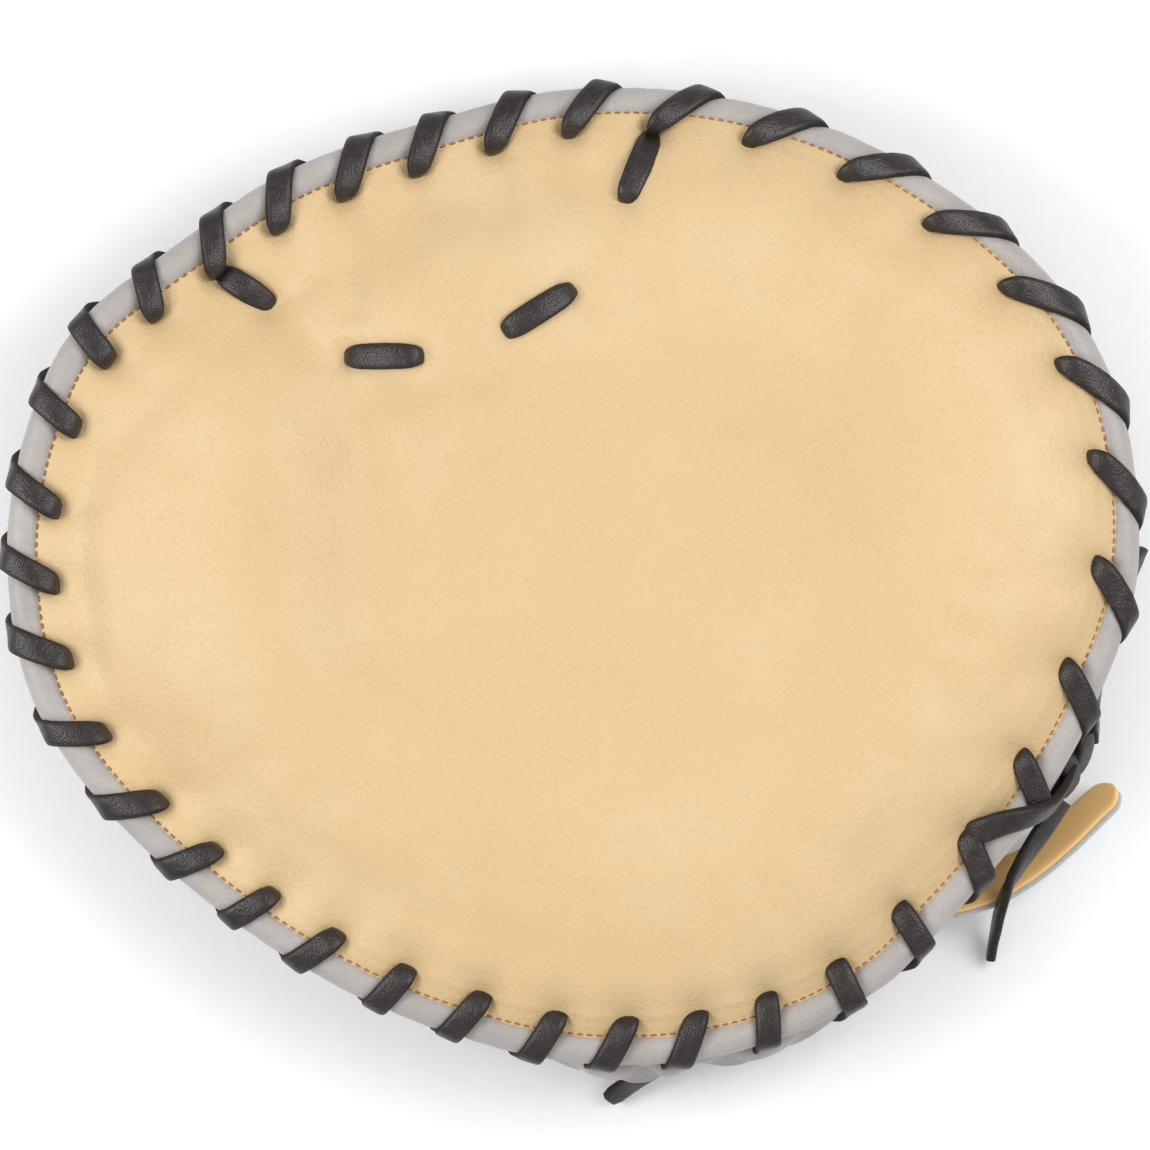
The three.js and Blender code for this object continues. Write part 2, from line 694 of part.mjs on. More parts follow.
// A lace across the palm that dives through it at both ends
function palmLaceStations(row) {
  const lift = seatGap + stitchLift + laceThickness / 2;
  const start = new THREE.Vector3(row.x1 * rimWidth / 2, row.y1 * rimLength / 2, 0);
  const end = new THREE.Vector3(row.x2 * rimWidth / 2, row.y2 * rimLength / 2, 0);
  const run = end.clone().sub(start).normalize();
  const up = new THREE.Vector3(0, 0, 1);
  const station = (share, beyond, height, off) => {
    const point = start.clone().lerp(end, share).addScaledVector(run, beyond);
    point.z = palmHeight(point.x, point.y) + height;
    return { point, off, width: laceWidth };
  };
  const depth = point => palmWall(point.x, point.y) + laceThickness * stitchEnd;
  const leanBack = run.clone().negate();
  return [
    station(0, 0, -depth(start), leanBack),
    station(0, 0, 0, leanBack),
    station(0, laceThickness * stitchBend, lift, up.clone().sub(run).normalize()),
    station(0.5, 0, lift + stitchArch, up),
    station(1, -laceThickness * stitchBend, lift, up.clone().add(run).normalize()),
    station(1, 0, 0, run),
    station(1, 0, -depth(end), run),
  ];
}

function crossingStations() {
  return crossingRows.map(row => {
    const inset = row.in * holeInset - row.out * laceOut - row.layer * laceLayer;
    const height = row.up * laceOver;
    return {
      point: rimPlace(row.turn, inset, height),
      off: rimDirection(row.turn, inset - rollWidth / 2, height),
      width: laceWidth,
    };
  });
}

// A knot: three short strips of lace that cross each other, fused. Slant is in degrees, shift in
// steps of the knot's stagger, reach and wide are shares of its length and of the lace's width
const knotRows = [
  { slant: 8, shift: 0, reach: 1, wide: 0.86 },
  { slant: 58, shift: 1, reach: 0.73, wide: 0.86 },
  { slant: -52, shift: -1, reach: 0.73, wide: 0.86 },
];
const knotEndShift = 0.3;

function knot(name, centre, lengthwise, off) {
  const across = new THREE.Vector3().crossVectors(off, lengthwise).normalize();
  const pieces = knotRows.map(row => {
    const run = lengthwise.clone().multiplyScalar(Math.cos(radians(row.slant)))
      .addScaledVector(across, Math.sin(radians(row.slant)));
    const stations = [-1, -knotWaist, knotWaist, 1].map(step => {
      const shift = row.shift * knotStagger * mix(1, knotEndShift, Math.abs(step));
      const point = centre.clone()
        .addScaledVector(run, step * row.reach * knotLength / 2)
        .addScaledVector(off, shift);
      return { point, off, width: laceWidth * row.wide };
    });
    return solid(ribbon(stations, laceThickness));
  });
  return solidMesh(name, pieces.reduce((sum, piece) => sum.add(piece)), black);
}

// A free end of lace: a flat tube with eight sides, with a ring every 1.6 thicknesses
const tailCorners = [[1, 0.45], [0.7, 1]];
const tailSection = [[1, 1], [-1, 1], [-1, -1], [1, -1]].flatMap(([right, up], quarter) => {
  const corners = tailCorners.map(([x, y]) => [x * right, y * up]);
  return quarter % 2 ? corners.reverse() : corners;
});
const tailStep = 1.6;

function tail(name, points) {
  const curve = new THREE.CatmullRomCurve3(points);
  const half = tailWidth / 2;
  const deep = laceThickness / 2;
  const outline = tailSection.map(([x, y]) => new THREE.Vector2(x * half, y * deep));
  const steps = Math.round(curve.getLength() / (laceThickness * tailStep));
  const geometry = new THREE.ExtrudeGeometry(new THREE.Shape(outline), {
    steps,
    bevelEnabled: false,
    extrudePath: curve,
  });
  const { positions, indices } = welded(geometry);
  return mesh(name, positions, indices, black);
}

// The wrist strap's two layers follow one centre line, from row to row
const strapLine = strapRows.map((row, i) => ({ ...row, place: i }));

function strapPoint(place) {
  return new THREE.Vector3(
    along(strapLine, 'place', 'x', place) * rimWidth / 2,
    along(strapLine, 'place', 'y', place) * rimLength / 2,
    along(strapLine, 'place', 'up', place) * seamHeight,
  );
}

function strapStation(place) {
  const step = 0.02;
  const run = strapPoint(place + step).sub(strapPoint(place - step)).setZ(0).normalize();
  const left = new THREE.Vector3(-run.y, run.x, 0);
  const tilt = radians(along(strapLine, 'place', 'tilt', place));
  const off = new THREE.Vector3(0, 0, Math.cos(tilt)).addScaledVector(left, Math.sin(tilt));
  return { point: strapPoint(place), off, width: along(strapLine, 'place', 'wide', place) * strapWidth };
}

function strapLayer(name, thickness, offset, look) {
  const last = strapRows.length - 1;
  const stations = Array.from({ length: strapSteps + 1 }, (_, i) => {
    const station = strapStation(last * i / strapSteps);
    station.point.addScaledVector(station.off, offset);
    return station;
  });
  const { positions, indices } = ribbon(stations, thickness);
  return mesh(name, positions, indices, look);
}

// Assembly
const edgeStations = edgeLaceStations();
const crossing = crossingStations();
const palmLaces = palmLaceRows.map(row => ({ name: row.name, stations: palmLaceStations(row) }));
const laceHole = stations => solid(ribbon(stations, laceThickness, holeGap));
const lace = (name, stations) => {
  const { positions, indices } = ribbon(stations, laceThickness);
  return mesh(name, positions, indices, black);
};

const palm = [edgeStations, crossing, ...palmLaces.map(entry => entry.stations)]
  .reduce((body, stations) => body.subtract(laceHole(stations)), palmBody());
const back = [edgeStations, crossing]
  .reduce((body, stations) => body.subtract(laceHole(stations)), backBody())
  .subtract(openingPrism(0));

// The knots: one outside the rim below the crossing lace, one below the lace at the heel
const rimKnotTurn = 336.6;
const heelKnotTurn = 284.6;
const rimAlong = turn => new THREE.Vector3(0, 0, 1).cross(rimOutward(turn));
const rimKnotPlace = rimPlace(rimKnotTurn, -laceOut - laceLayer, -laceOver * knotDrop);
const heelKnotPlace = rimPlace(heelKnotTurn, rollWidth / 2, -laceOver - laceLayer - knotStagger);
const freePoints = points => points.map(point => new THREE.Vector3(...point));
const heelTailPoints = heelTailSteps.map(step => new THREE.Vector3(...step).add(heelKnotPlace));

const glove = new THREE.Group();
glove.add(
  solidMesh('palm_panel', palm, tan),
  solidMesh('back_panel', back, grey),
  roll('palm_binding', rollCentre, palmEdgeThickness),
  roll('back_binding', -rollCentre, backThickness),
  solidMesh('opening_binding', openingBinding(), grey),
  strapLayer('strap_face', strapFaceThickness, (strapBackingThickness + seatGap) / 2, tan),
  strapLayer('strap_backing', strapBackingThickness, -(strapFaceThickness + seatGap) / 2, grey),
  lace('edge_lace', edgeStations),
  lace('crossing_lace', crossing),
  ...palmLaces.map(entry => lace(entry.name, entry.stations)),
  knot('rim_knot', rimKnotPlace, rimAlong(rimKnotTurn), rimDirection(rimKnotTurn, -1, 0)),
  knot('heel_knot', heelKnotPlace, rimAlong(heelKnotTurn), new THREE.Vector3(0, 0, -1)),
  tail('long_tail', freePoints(longTailPoints)),
  tail('rim_tail', freePoints(rimTailPoints)),
  tail('heel_tail', heelTailPoints),
);

export default glove;
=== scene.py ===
# %% [markdown]
# A round flat training glove, lying palm up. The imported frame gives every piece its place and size.
# This script dresses the frame: it makes the padded palm, the grey shell, the rolled rim, the laces
# and the strap as fine meshes, each with the finish of its real leather.
# Lengths are written in millimetres, because that is how a glove maker measures, and the one function
# that makes an object turns them into Blender's metres.

# %% Load the frame
import json
import math

import bpy
import numpy as np
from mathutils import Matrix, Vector, noise

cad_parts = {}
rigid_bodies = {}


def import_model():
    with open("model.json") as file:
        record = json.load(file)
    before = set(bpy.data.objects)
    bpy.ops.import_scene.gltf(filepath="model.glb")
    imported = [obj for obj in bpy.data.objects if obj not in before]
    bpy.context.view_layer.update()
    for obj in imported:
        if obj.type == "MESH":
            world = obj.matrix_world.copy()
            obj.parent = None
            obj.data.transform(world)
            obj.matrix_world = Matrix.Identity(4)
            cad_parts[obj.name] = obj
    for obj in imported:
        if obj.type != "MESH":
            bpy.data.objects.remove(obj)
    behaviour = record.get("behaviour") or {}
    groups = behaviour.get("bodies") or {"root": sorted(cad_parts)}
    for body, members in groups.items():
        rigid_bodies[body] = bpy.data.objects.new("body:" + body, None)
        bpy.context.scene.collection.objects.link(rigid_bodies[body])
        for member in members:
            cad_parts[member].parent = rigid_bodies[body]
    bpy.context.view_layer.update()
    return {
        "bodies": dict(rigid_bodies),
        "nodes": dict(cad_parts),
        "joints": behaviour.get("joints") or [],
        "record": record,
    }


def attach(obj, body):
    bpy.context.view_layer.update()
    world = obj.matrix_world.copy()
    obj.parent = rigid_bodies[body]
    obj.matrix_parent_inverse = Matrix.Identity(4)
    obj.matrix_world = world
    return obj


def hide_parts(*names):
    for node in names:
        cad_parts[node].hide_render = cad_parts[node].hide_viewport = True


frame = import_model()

MM = 0.001

# %% [markdown]
# The photograph looks straight down on the palm through a long lens, so the rim shows as a plain
# outline without perspective. A camera far above the glove with a long focal length gives the same
# view, and its distance and lens follow from the width that the picture shows at the rim's height.

# %% Camera
PICTURE_WIDTH = 248.8
PICTURE_MIDDLE_Y = 1.08
RIM_HEIGHT = 27
CAMERA_DISTANCE = 1600
SENSOR_WIDTH = 36

lens = bpy.data.cameras.new("camera_above")
lens.sensor_width = SENSOR_WIDTH
lens.lens = SENSOR_WIDTH * CAMERA_DISTANCE / PICTURE_WIDTH
lens.clip_end = 20
camera = bpy.data.objects.new("camera_above", lens)
camera.location = Vector((0, PICTURE_MIDDLE_Y, RIM_HEIGHT + CAMERA_DISTANCE)) * MM
bpy.context.scene.collection.objects.link(camera)
bpy.context.scene.camera = camera
print("camera:", round(lens.lens), "mm lens,", CAMERA_DISTANCE, "mm above the rim")

# %% [markdown]
# Every surface here starts as a table of points, rows by columns. These helpers turn such a table
# into a mesh with shared corners. Writing the points with numpy keeps the shapes exact and lets one
# formula make thousands of them at once, which sculpting by hand could not repeat each run.

# %% Helpers for meshes
def grid_faces(rows, columns, close_rows=False, close_columns=False, first=0):
    """Quads over a table of points, which may close on itself along rows or columns."""
    r = np.arange(rows if close_rows else rows - 1)
    c = np.arange(columns if close_columns else columns - 1)
    row, column = np.meshgrid(r, c, indexing="ij")
    next_row, next_column = (row + 1) % rows, (column + 1) % columns
    corners = [(row, column), (row, next_column), (next_row, next_column), (next_row, column)]
    return first + np.stack([a * columns + b for a, b in corners], -1).reshape(-1, 4)


def make_mesh(name, points, faces):
    """A smooth mesh from points in millimetres and lists of faces."""
    mesh = bpy.data.meshes.new(name)
    mesh.from_pydata((np.asarray(points, float).reshape(-1, 3) * MM).tolist(), [], [list(f) for f in faces])
    mesh.polygons.foreach_set("use_smooth", [True] * len(mesh.polygons))
    mesh.update()
    return mesh


def make_piece(name, points, faces, material, replaces=()):
    """A piece of the glove that rides on the frame's body and stands for its CAD nodes."""
    piece = bpy.data.objects.new(name, make_mesh(name, points, faces))
    bpy.context.scene.collection.objects.link(piece)
    piece.data.materials.append(material)
    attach(piece, "root")
    if replaces:
        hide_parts(*replaces)
    print(name + ":", len(piece.data.vertices), "points,", len(piece.data.polygons), "faces")
    return piece


def unit(vectors):
    """The same directions at length one."""
    return vectors / np.linalg.norm(vectors, axis=-1, keepdims=True)

# %% [markdown]
# The glove's forms are short tables read as smooth curves. A cubic curve through the table's values,
# with each slope taken from the neighbours, has no corners at the rows and needs few of them.

# %% Smooth curves through tables
def smooth(rows, key, column, at, period=None):
    """Values of one column of a table, read at any place, once or round a closed path."""
    keys = np.array([row[key] for row in rows], float)
    values = np.array([row[column] for row in rows], float)
    at = np.asarray(at, float)
    if period:
        at = np.mod(at, period)
        keys = np.concatenate([keys[-2:] - period, keys, keys[:2] + period])
        values = np.concatenate([values[-2:], values, values[:2]])
    slopes = np.empty_like(values)
    slopes[1:-1] = (values[2:] - values[:-2]) / (keys[2:] - keys[:-2])
    slopes[[0, -1]] = (values[[1, -1]] - values[[0, -2]]) / (keys[[1, -1]] - keys[[0, -2]])
    at = np.clip(at, keys[0], keys[-1])
    i = np.clip(np.searchsorted(keys, at, "right") - 1, 0, len(keys) - 2)
    span = keys[i + 1] - keys[i]
    s = (at - keys[i]) / span
    return ((2 * s**3 - 3 * s**2 + 1) * values[i] + (s**3 - 2 * s**2 + s) * span * slopes[i]
            + (3 * s**2 - 2 * s**3) * values[i + 1] + (s**3 - s**2) * span * slopes[i + 1])


def table(columns, *rows):
    """Rows of numbers with named columns."""
    names = columns.split()
    return [dict(zip(names, row)) for row in rows]


def mix(a, b, share):
    return a + (b - a) * share


def ease(value, low, high):
    """A soft step from 0 at low to 1 at high."""
    s = np.clip((np.asarray(value, float) - low) / (high - low), 0, 1)
    return s * s * (3 - 2 * s)


def hump(value, breadth):
    """A soft bell, 1 in its middle."""
    return np.exp(-(value / breadth) ** 2)


def blunt(value, power):
    """A sine or cosine with fuller shoulders, for ovals with flatter sides."""
    return np.sign(value) * np.abs(value) ** power


print("curves: halfway up a soft step is", ease(0.5, 0, 1))

# %% [markdown]
# The rim is the glove's skeleton. Two rolls of leather lie on each other round the whole edge, and on
# the finger side they tuck under the palm. The table holds the outline as shares of the half sizes,
# how far the section tucks and how the rim waves up and down, the same as in the frame's solids.

# %% The rim
RIM_WIDTH, RIM_LENGTH = 244.5, 212.9
SEAM_HEIGHT, RIM_WAVE, TUCK_ANGLE = 27, 2, 36
ROLL_WIDTH, ROLL_HEIGHT = 6.7, 5.6
ROLL_CENTRE = 2.95
PANEL_EDGE, LACE_FLANGE, HOLE_INSET = 2.2, 12, 10

rim_rows = table(
    "turn reach tuck sway",
    (0, 0.992, 0.5, 0.3), (10, 1.008, 0.7, 0.5), (22, 1.03, 0.75, 0.7), (34, 1.04, 0.7, 0.6),
    (50, 1.03, 0.8, 0.2), (72, 1.018, 0.9, -0.5), (90, 0.997, 0.55, -0.8), (106, 0.966, 0.2, -0.4),
    (122, 0.973, 0, 0.2), (136, 0.978, 0, 0.6), (150, 1.02, 0, 0.8), (163, 1.015, 0, 0.5),
    (180, 1.002, 0, 0), (195, 0.987, 0, -0.4), (210, 0.949, 0.1, -0.6), (224, 0.922, 0.3, -0.4),
    (238, 0.92, 0.35, 0), (255, 0.942, 0.3, 0.5), (270, 0.978, 0.15, 0.8), (285, 0.998, 0, 0.6),
    (302, 0.99, 0, 0.2), (315, 0.953, 0.05, -0.2), (330, 0.942, 0.2, -0.3), (346, 0.956, 0.4, 0),
)


def rim_value(column, turn):
    return smooth(rim_rows, "turn", column, turn, period=360)


def rim_point(turn):
    """The rim's outer edge from above, as a flat point."""
    reach, angle = rim_value("reach", turn) / 2, np.radians(turn)
    return np.stack([RIM_WIDTH * reach * np.cos(angle), RIM_LENGTH * reach * np.sin(angle), 0 * angle], -1)


def rim_along(turn):
    return unit(rim_point(turn + 0.5) - rim_point(turn - 0.5))


def rim_outward(turn):
    step = rim_along(turn)
    return np.stack([step[..., 1], -step[..., 0], 0 * step[..., 0]], -1)


def rim_direction(turn, inward, up):
    """A direction across the rim: inward along the laced band and up off it."""
    tuck = np.radians(TUCK_ANGLE * rim_value("tuck", turn))
    level = up * np.sin(tuck) - inward * np.cos(tuck)
    return rim_outward(turn) * level[..., None] + np.stack(
        [0 * tuck, 0 * tuck, inward * np.sin(tuck) + up * np.cos(tuck)], -1)


def rim_place(turn, inset, height):
    """A place across the rim: inset from the rolls' outer edge and height over the seam between them."""
    turn = np.asarray(turn, float)
    tuck = np.radians(TUCK_ANGLE * rim_value("tuck", turn))
    shift = ROLL_WIDTH / 2 * (1 - np.cos(tuck)) + ROLL_CENTRE * np.sin(tuck)
    place = rim_point(turn) - rim_outward(turn) * shift[..., None] + rim_direction(turn, inset, height)
    place[..., 2] += SEAM_HEIGHT + RIM_WAVE * rim_value("sway", turn)
    return place


def rim_band(turn, insets, height):
    """Rings of places across the rim, one for each inset."""
    return np.stack([rim_place(turn, inset, height) for inset in insets])


ring_turns = np.linspace(0, 360, 721)
rim_length = np.linalg.norm(np.diff(rim_place(ring_turns, 0, 0), axis=0), axis=1).sum()
print("rim:", round(rim_length), "mm round")

# %% [markdown]
# One lace binds the rim like a whip stitch: it comes out of a hole in the palm, leans over both rolls
# and goes into the next hole from below. The table gives where every second hole is and how far the
# lace leans on its way over the edge.

# %% Lace holes
LACE_WIDTH, LACE_THICKNESS = 5.6, 2.3
HOLES, FIRST_HOLE = 36, 17

hole_rows = table(
    "hole turn lean",
    (-1, 150.6, 0.2), (1, 134.5, 0.44), (3, 116.8, 0.5), (5, 99.8, 0.55), (7, 81.8, 0.6),
    (9, 60.5, 0.66), (11, 38.8, 0.8), (13, 15, 0.6), (15, -12.5, 0.45), (17, -37.2, 0.34),
    (19, -59.7, 0.06), (21, -76.5, 0.4), (23, -92.5, 0.27), (25, -110.5, 0.24), (27, -129.2, 0.32),
    (29, -147, 0.42), (31, -169, 0.44), (33, -188.8, 0.36), (35, -209.4, 0.2), (37, -225.5, 0.44),
    (39, -243.2, 0.5),
)


def hole_turn(hole, column="turn"):
    """The turn of a hole, or its lace's lean. Holes count clockwise from the thumb end of the web."""
    rounds = np.floor((np.asarray(hole, float) - 1) / HOLES)
    value = smooth(hole_rows, "hole", column, hole - rounds * HOLES)
    return value - 360 * rounds if column == "turn" else value


hole_numbers = np.arange(1, HOLES + 1)
hole_turns = hole_turn(hole_numbers)
hole_places = rim_place(hole_turns, HOLE_INSET, ROLL_CENTRE)
print("holes:", HOLES, "with", round(rim_length / HOLES, 1), "mm between them")

# %% [markdown]
# One small function adds a shader node with its settings and links, and one turns a colour written
# as on a paint card, in sRGB hex, into the linear light values that the shaders compute with.

# %% Helpers for materials
def add(tree, kind, inputs=None, **settings):
    """A shader node with its settings. Inputs are plain values, or the output of another node."""
    node = tree.nodes.new(kind)
    for name, value in settings.items():
        setattr(node, name, value)
    for name, value in (inputs or {}).items():
        if isinstance(value, bpy.types.NodeSocket):
            tree.links.new(value, node.inputs[name])
        else:
            node.inputs[name].default_value = value
    return node


def colour(hex_text):
    """An sRGB colour such as #e6c48f as linear red, green, blue and alpha."""
    parts = [int(hex_text[i:i + 2], 16) / 255 for i in (1, 3, 5)]
    return [p / 12.92 if p <= 0.04045 else ((p + 0.055) / 1.055) ** 2.4 for p in parts] + [1]


def new_material(name):
    """An empty node material with its output and the object's own coordinates, in metres."""
    material = bpy.data.materials.new(name)
    material.use_nodes = True
    material.node_tree.nodes.clear()
    output = add(material.node_tree, "ShaderNodeOutputMaterial")
    places = add(material.node_tree, "ShaderNodeTexCoord").outputs["Object"]
    return material, material.node_tree, output, places


def set_colours(ramp, *stops):
    """Puts (place, hex colour) stops on a colour ramp."""
    while len(ramp.color_ramp.elements) < len(stops):
        ramp.color_ramp.elements.new(0.5)
    for element, (place, hex_text) in zip(ramp.color_ramp.elements, stops):
        element.position = place
        element.color = colour(hex_text)
    return ramp


def finish_material(material, output, inputs):
    """The surface shader of a material, from its inputs."""
    shader = add(material.node_tree, "ShaderNodeBsdfPrincipled", inputs)
    material.node_tree.links.new(shader.outputs[0], output.inputs["Surface"])
    return material


def leather_grain(tree, places, pebble_mm, warp=0.35):
    """The pebbles of a tanned grain side: small cells with soft valleys, a little warped."""
    scale = 1 / (pebble_mm * MM)
    drift = add(tree, "ShaderNodeTexNoise", {"Vector": places, "Scale": scale / 2, "Detail": 2})
    bent = add(tree, "ShaderNodeVectorMath", {0: drift.outputs["Color"], 1: (warp * pebble_mm * MM,) * 3},
               operation="MULTIPLY")
    moved = add(tree, "ShaderNodeVectorMath", {0: places, 1: bent.outputs[0]}, operation="ADD")
    cells = add(tree, "ShaderNodeTexVoronoi", {"Vector": moved.outputs[0], "Scale": scale})
    domes = add(tree, "ShaderNodeMath", {0: cells.outputs["Distance"], 1: 2.0}, operation="POWER")
    return domes.outputs[0]

# %% [markdown]
# The palm is steerhide: full-grain leather, vegetable tanned and lightly waxed. The eye reads it by
# three things: a warm tan that is nearly even but drifts a little from place to place, pebbles under a
# millimetre wide, and a soft sheen, wide and weak, with an index of about 1.5.

# %% Material of the palm
PALM_PEBBLE = 0.8


def make_palm_leather():
    material, tree, output, places = new_material("vegetable_tanned_steerhide")
    clouds = add(tree, "ShaderNodeTexNoise", {"Vector": places, "Scale": 22, "Detail": 4, "Roughness": 0.6})
    specks = add(tree, "ShaderNodeTexNoise", {"Vector": places, "Scale": 420, "Detail": 3, "Roughness": 0.7})
    blend = add(tree, "ShaderNodeMath", {0: specks.outputs["Fac"], 1: 0.12, 2: clouds.outputs["Fac"]},
                operation="MULTIPLY_ADD")
    tan = set_colours(add(tree, "ShaderNodeValToRGB", {"Fac": blend.outputs[0]}),
                      (0.35, "#d5b584"), (0.6, "#d8ba8a"), (0.85, "#dcc092"))
    pebbles = leather_grain(tree, places, PALM_PEBBLE)
    # Painted shade: the tan is darkened a little in the valleys between the pebbles, where shade would fall.
    dark = add(tree, "ShaderNodeMapRange", {"Value": pebbles, "From Min": 0.25, "From Max": 0.75,
                                            "To Min": 1.0, "To Max": 0.95})
    shaded = add(tree, "ShaderNodeVectorMath", {0: tan.outputs["Color"], "Scale": dark.outputs["Result"]},
                 operation="SCALE")
    creases = add(tree, "ShaderNodeTexNoise", {"Vector": places, "Scale": 160, "Detail": 5, "Roughness": 0.65})
    height = add(tree, "ShaderNodeMath", {0: pebbles, 1: -0.6, 2: creases.outputs["Fac"]},
                 operation="MULTIPLY_ADD")
    bump = add(tree, "ShaderNodeBump", {"Height": height.outputs[0], "Strength": 0.6, "Distance": 0.2 * MM})
    rough = add(tree, "ShaderNodeMapRange", {"Value": specks.outputs["Fac"], "To Min": 0.42, "To Max": 0.54})
    return finish_material(material, output, {
        "Base Color": shaded.outputs[0], "Roughness": rough.outputs["Result"], "IOR": 1.5,
        "Normal": bump.outputs["Normal"], "Sheen Weight": 0.05, "Sheen Roughness": 0.5})


palm_leather = make_palm_leather()
print("made", palm_leather.name)

# %% [markdown]
# The palm is one padded disc: a tan leather face over felt. From its laced edge it climbs slowly on the
# thumb side and steeply over the fingers, sinks to a shallow dish in the middle, and creases where the
# laces and the hand pull it. The broad form follows the frame's to within three millimetres. What the
# frame leaves out is added here: the leather puffs up between the laces, dips into each hole and puckers
# inward from the tight ones.

# %% The palm's broad form
PALM_EDGE_THICKNESS, PALM_PAD_THICKNESS = 2.4, 5.5
PALM_RISE, DISH_DEPTH = 18, 6.5
FINGER_TURN, FINGER_BLEND, PAD_RAMP, VALLEY_RAMP = 0, 0.6, 0.14, 0.12

palm_rows = table(
    "in thumb finger sink",
    (0, 0, 0, 0), (0.05, 0.07, 0.34, 0), (0.11, 0.27, 0.66, 0), (0.19, 0.57, 0.88, 0),
    (0.29, 0.84, 0.98, 0.03), (0.42, 1.03, 1, 0.22), (0.58, 1.05, 1, 0.58), (0.78, 1.01, 1, 0.9),
    (1, 1, 1, 1),
)
palm_valleys = table(
    "x1 y1 x2 y2 breadth depth",
    (-0.55, 0.62, -0.36, 0.3, 0.11, 0.22), (-0.36, 0.3, -0.34, -0.1, 0.12, 0.27),
    (0.04, 0.9, 0.04, 0.58, 0.07, 0.13), (-0.415, 0.8, -0.395, 0.55, 0.034, 0.07),
    (-0.15, 0.86, -0.13, 0.74, 0.05, 0.07), (-0.55, 0.58, -0.4, 0.42, 0.04, 0.08),
)


def distance_to_line(places, start, end):
    """How far flat places are from a stretch of line, and how far along it they come nearest."""
    run = end - start
    share = np.clip(((places - start) @ run) / (run @ run), 0, 1)
    return np.linalg.norm(places - start - share[..., None] * run, axis=-1), share


def half_sizes(x, y):
    return np.array([x * RIM_WIDTH / 2, y * RIM_LENGTH / 2])


def valley_depth(places):
    depth = 0
    for row in palm_valleys:
        away, _ = distance_to_line(places, half_sizes(row["x1"], row["y1"]), half_sizes(row["x2"], row["y2"]))
        depth = depth + row["depth"] * PALM_RISE * hump(away, row["breadth"] * RIM_WIDTH / 2)
    return depth


def palm_top(turn, share):
    """The palm's face without its fine relief: share runs from the laced band to the middle."""
    edge = rim_place(turn, LACE_FLANGE, ROLL_CENTRE + PALM_EDGE_THICKNESS / 2)
    place = edge * (1 - share)[..., None]
    side = ease(np.cos(np.radians(turn - FINGER_TURN)), -FINGER_BLEND, FINGER_BLEND)
    climb = mix(smooth(palm_rows, "in", "thumb", share), smooth(palm_rows, "in", "finger", share), side)
    place[..., 2] = (mix(edge[..., 2], SEAM_HEIGHT + PALM_RISE, climb)
                     - DISH_DEPTH * smooth(palm_rows, "in", "sink", share)
                     - valley_depth(place[..., :2]) * ease(share, 0, VALLEY_RAMP))
    return place


def slanted(surface, turn, share, wall, step=0.02):
    """The upright thickness of a wall that slopes towards the middle."""
    outer = surface(turn, np.maximum(share - step, 0))
    inner = surface(turn, np.minimum(share + step, 1))
    run = np.linalg.norm(outer[..., :2] - inner[..., :2], axis=-1)
    return wall * np.hypot(1, (outer[..., 2] - inner[..., 2]) / run)


def place_in_palm(x, y):
    """The turn and the share of the way in of a flat place on the palm."""
    x, y = np.asarray(x, float), np.asarray(y, float)
    turn = np.degrees(np.arctan2(y / RIM_LENGTH, x / RIM_WIDTH))
    for _ in range(6):
        edge = rim_place(turn, LACE_FLANGE, ROLL_CENTRE)
        error = np.arctan2(y, x) - np.arctan2(edge[..., 1], edge[..., 0])
        turn = turn + np.degrees(np.arctan2(np.sin(error), np.cos(error)))
    edge = rim_place(turn, LACE_FLANGE, ROLL_CENTRE)
    return turn, np.maximum(1 - np.hypot(x, y) / np.hypot(edge[..., 0], edge[..., 1]), 0)

# %% [markdown]
# The fine relief is a height added to the palm's face. Each effect is one line of arithmetic on the
# distance to the rim, to the holes or to a crease, so the puffs and dimples always sit where the laces
# are. Two sizes of soft noise keep the leather from looking pressed in a mould.

# %% The palm's fine relief
PUFF_HEIGHT, PUFF_INSET, PUFF_BREADTH = 1.3, 12.5, 5.5
DIMPLE_DEPTH, DIMPLE_BREADTH = 1.5, 2.9
PULL_BREADTH = 3.4
HEEL_HEIGHT, HEEL_INSET, HEEL_BREADTH = 2.7, 16, 6.5
BROAD_NOISE, FINE_NOISE = 0.28, 0.09

puff_rows = table("turn puff", (0, 0.9), (45, 0.7), (90, 0.4), (135, 0.35), (180, 0.5), (225, 0.8),
                  (270, 1), (315, 1))
shoulder_rows = table("turn inset rise", (0, 30, 0), (100, 20, 0), (125, 19, 0.2), (150, 20, 0.6),
                      (180, 21.5, 0.8), (205, 21, 0.8), (230, 20, 0.6), (250, 20, 0.3), (275, 20, 0.1),
                      (320, 20, 0))
heel_rows = table("turn fill", (0, 0.3), (30, 0), (225, 0), (255, 0.6), (285, 1), (320, 1))
crease_rows = table(
    "hole length depth",
    (2, 14, 0.5), (3, 20, 0.9), (4, 12, 0.5), (5, 24, 1.0), (6, 17, 0.9), (7, 10, 0.4), (24, 8, 0.4),
    (20, 9, 0.5), (18, 10, 0.6), (29, 8, 0.4), (33, 11, 0.5), (35, 12, 0.6),
)
palm_lace_rows = [
    dict(name="web_tie_thumb", start=half_sizes(-0.624, 0.622), end=half_sizes(-0.538, 0.56)),
    dict(name="web_tie_index", start=half_sizes(0.136, 0.9), end=half_sizes(0.089, 0.768)),
    dict(name="palm_stitch_thumb", start=half_sizes(-0.398, 0.451), end=half_sizes(-0.272, 0.451)),
    dict(name="palm_stitch_index", start=half_sizes(-0.119, 0.502), end=half_sizes(-0.007, 0.584)),
]

hole_ladder = np.sort(np.mod(hole_turns, 360))
hole_ladder = np.append(hole_ladder, hole_ladder[0] + 360)


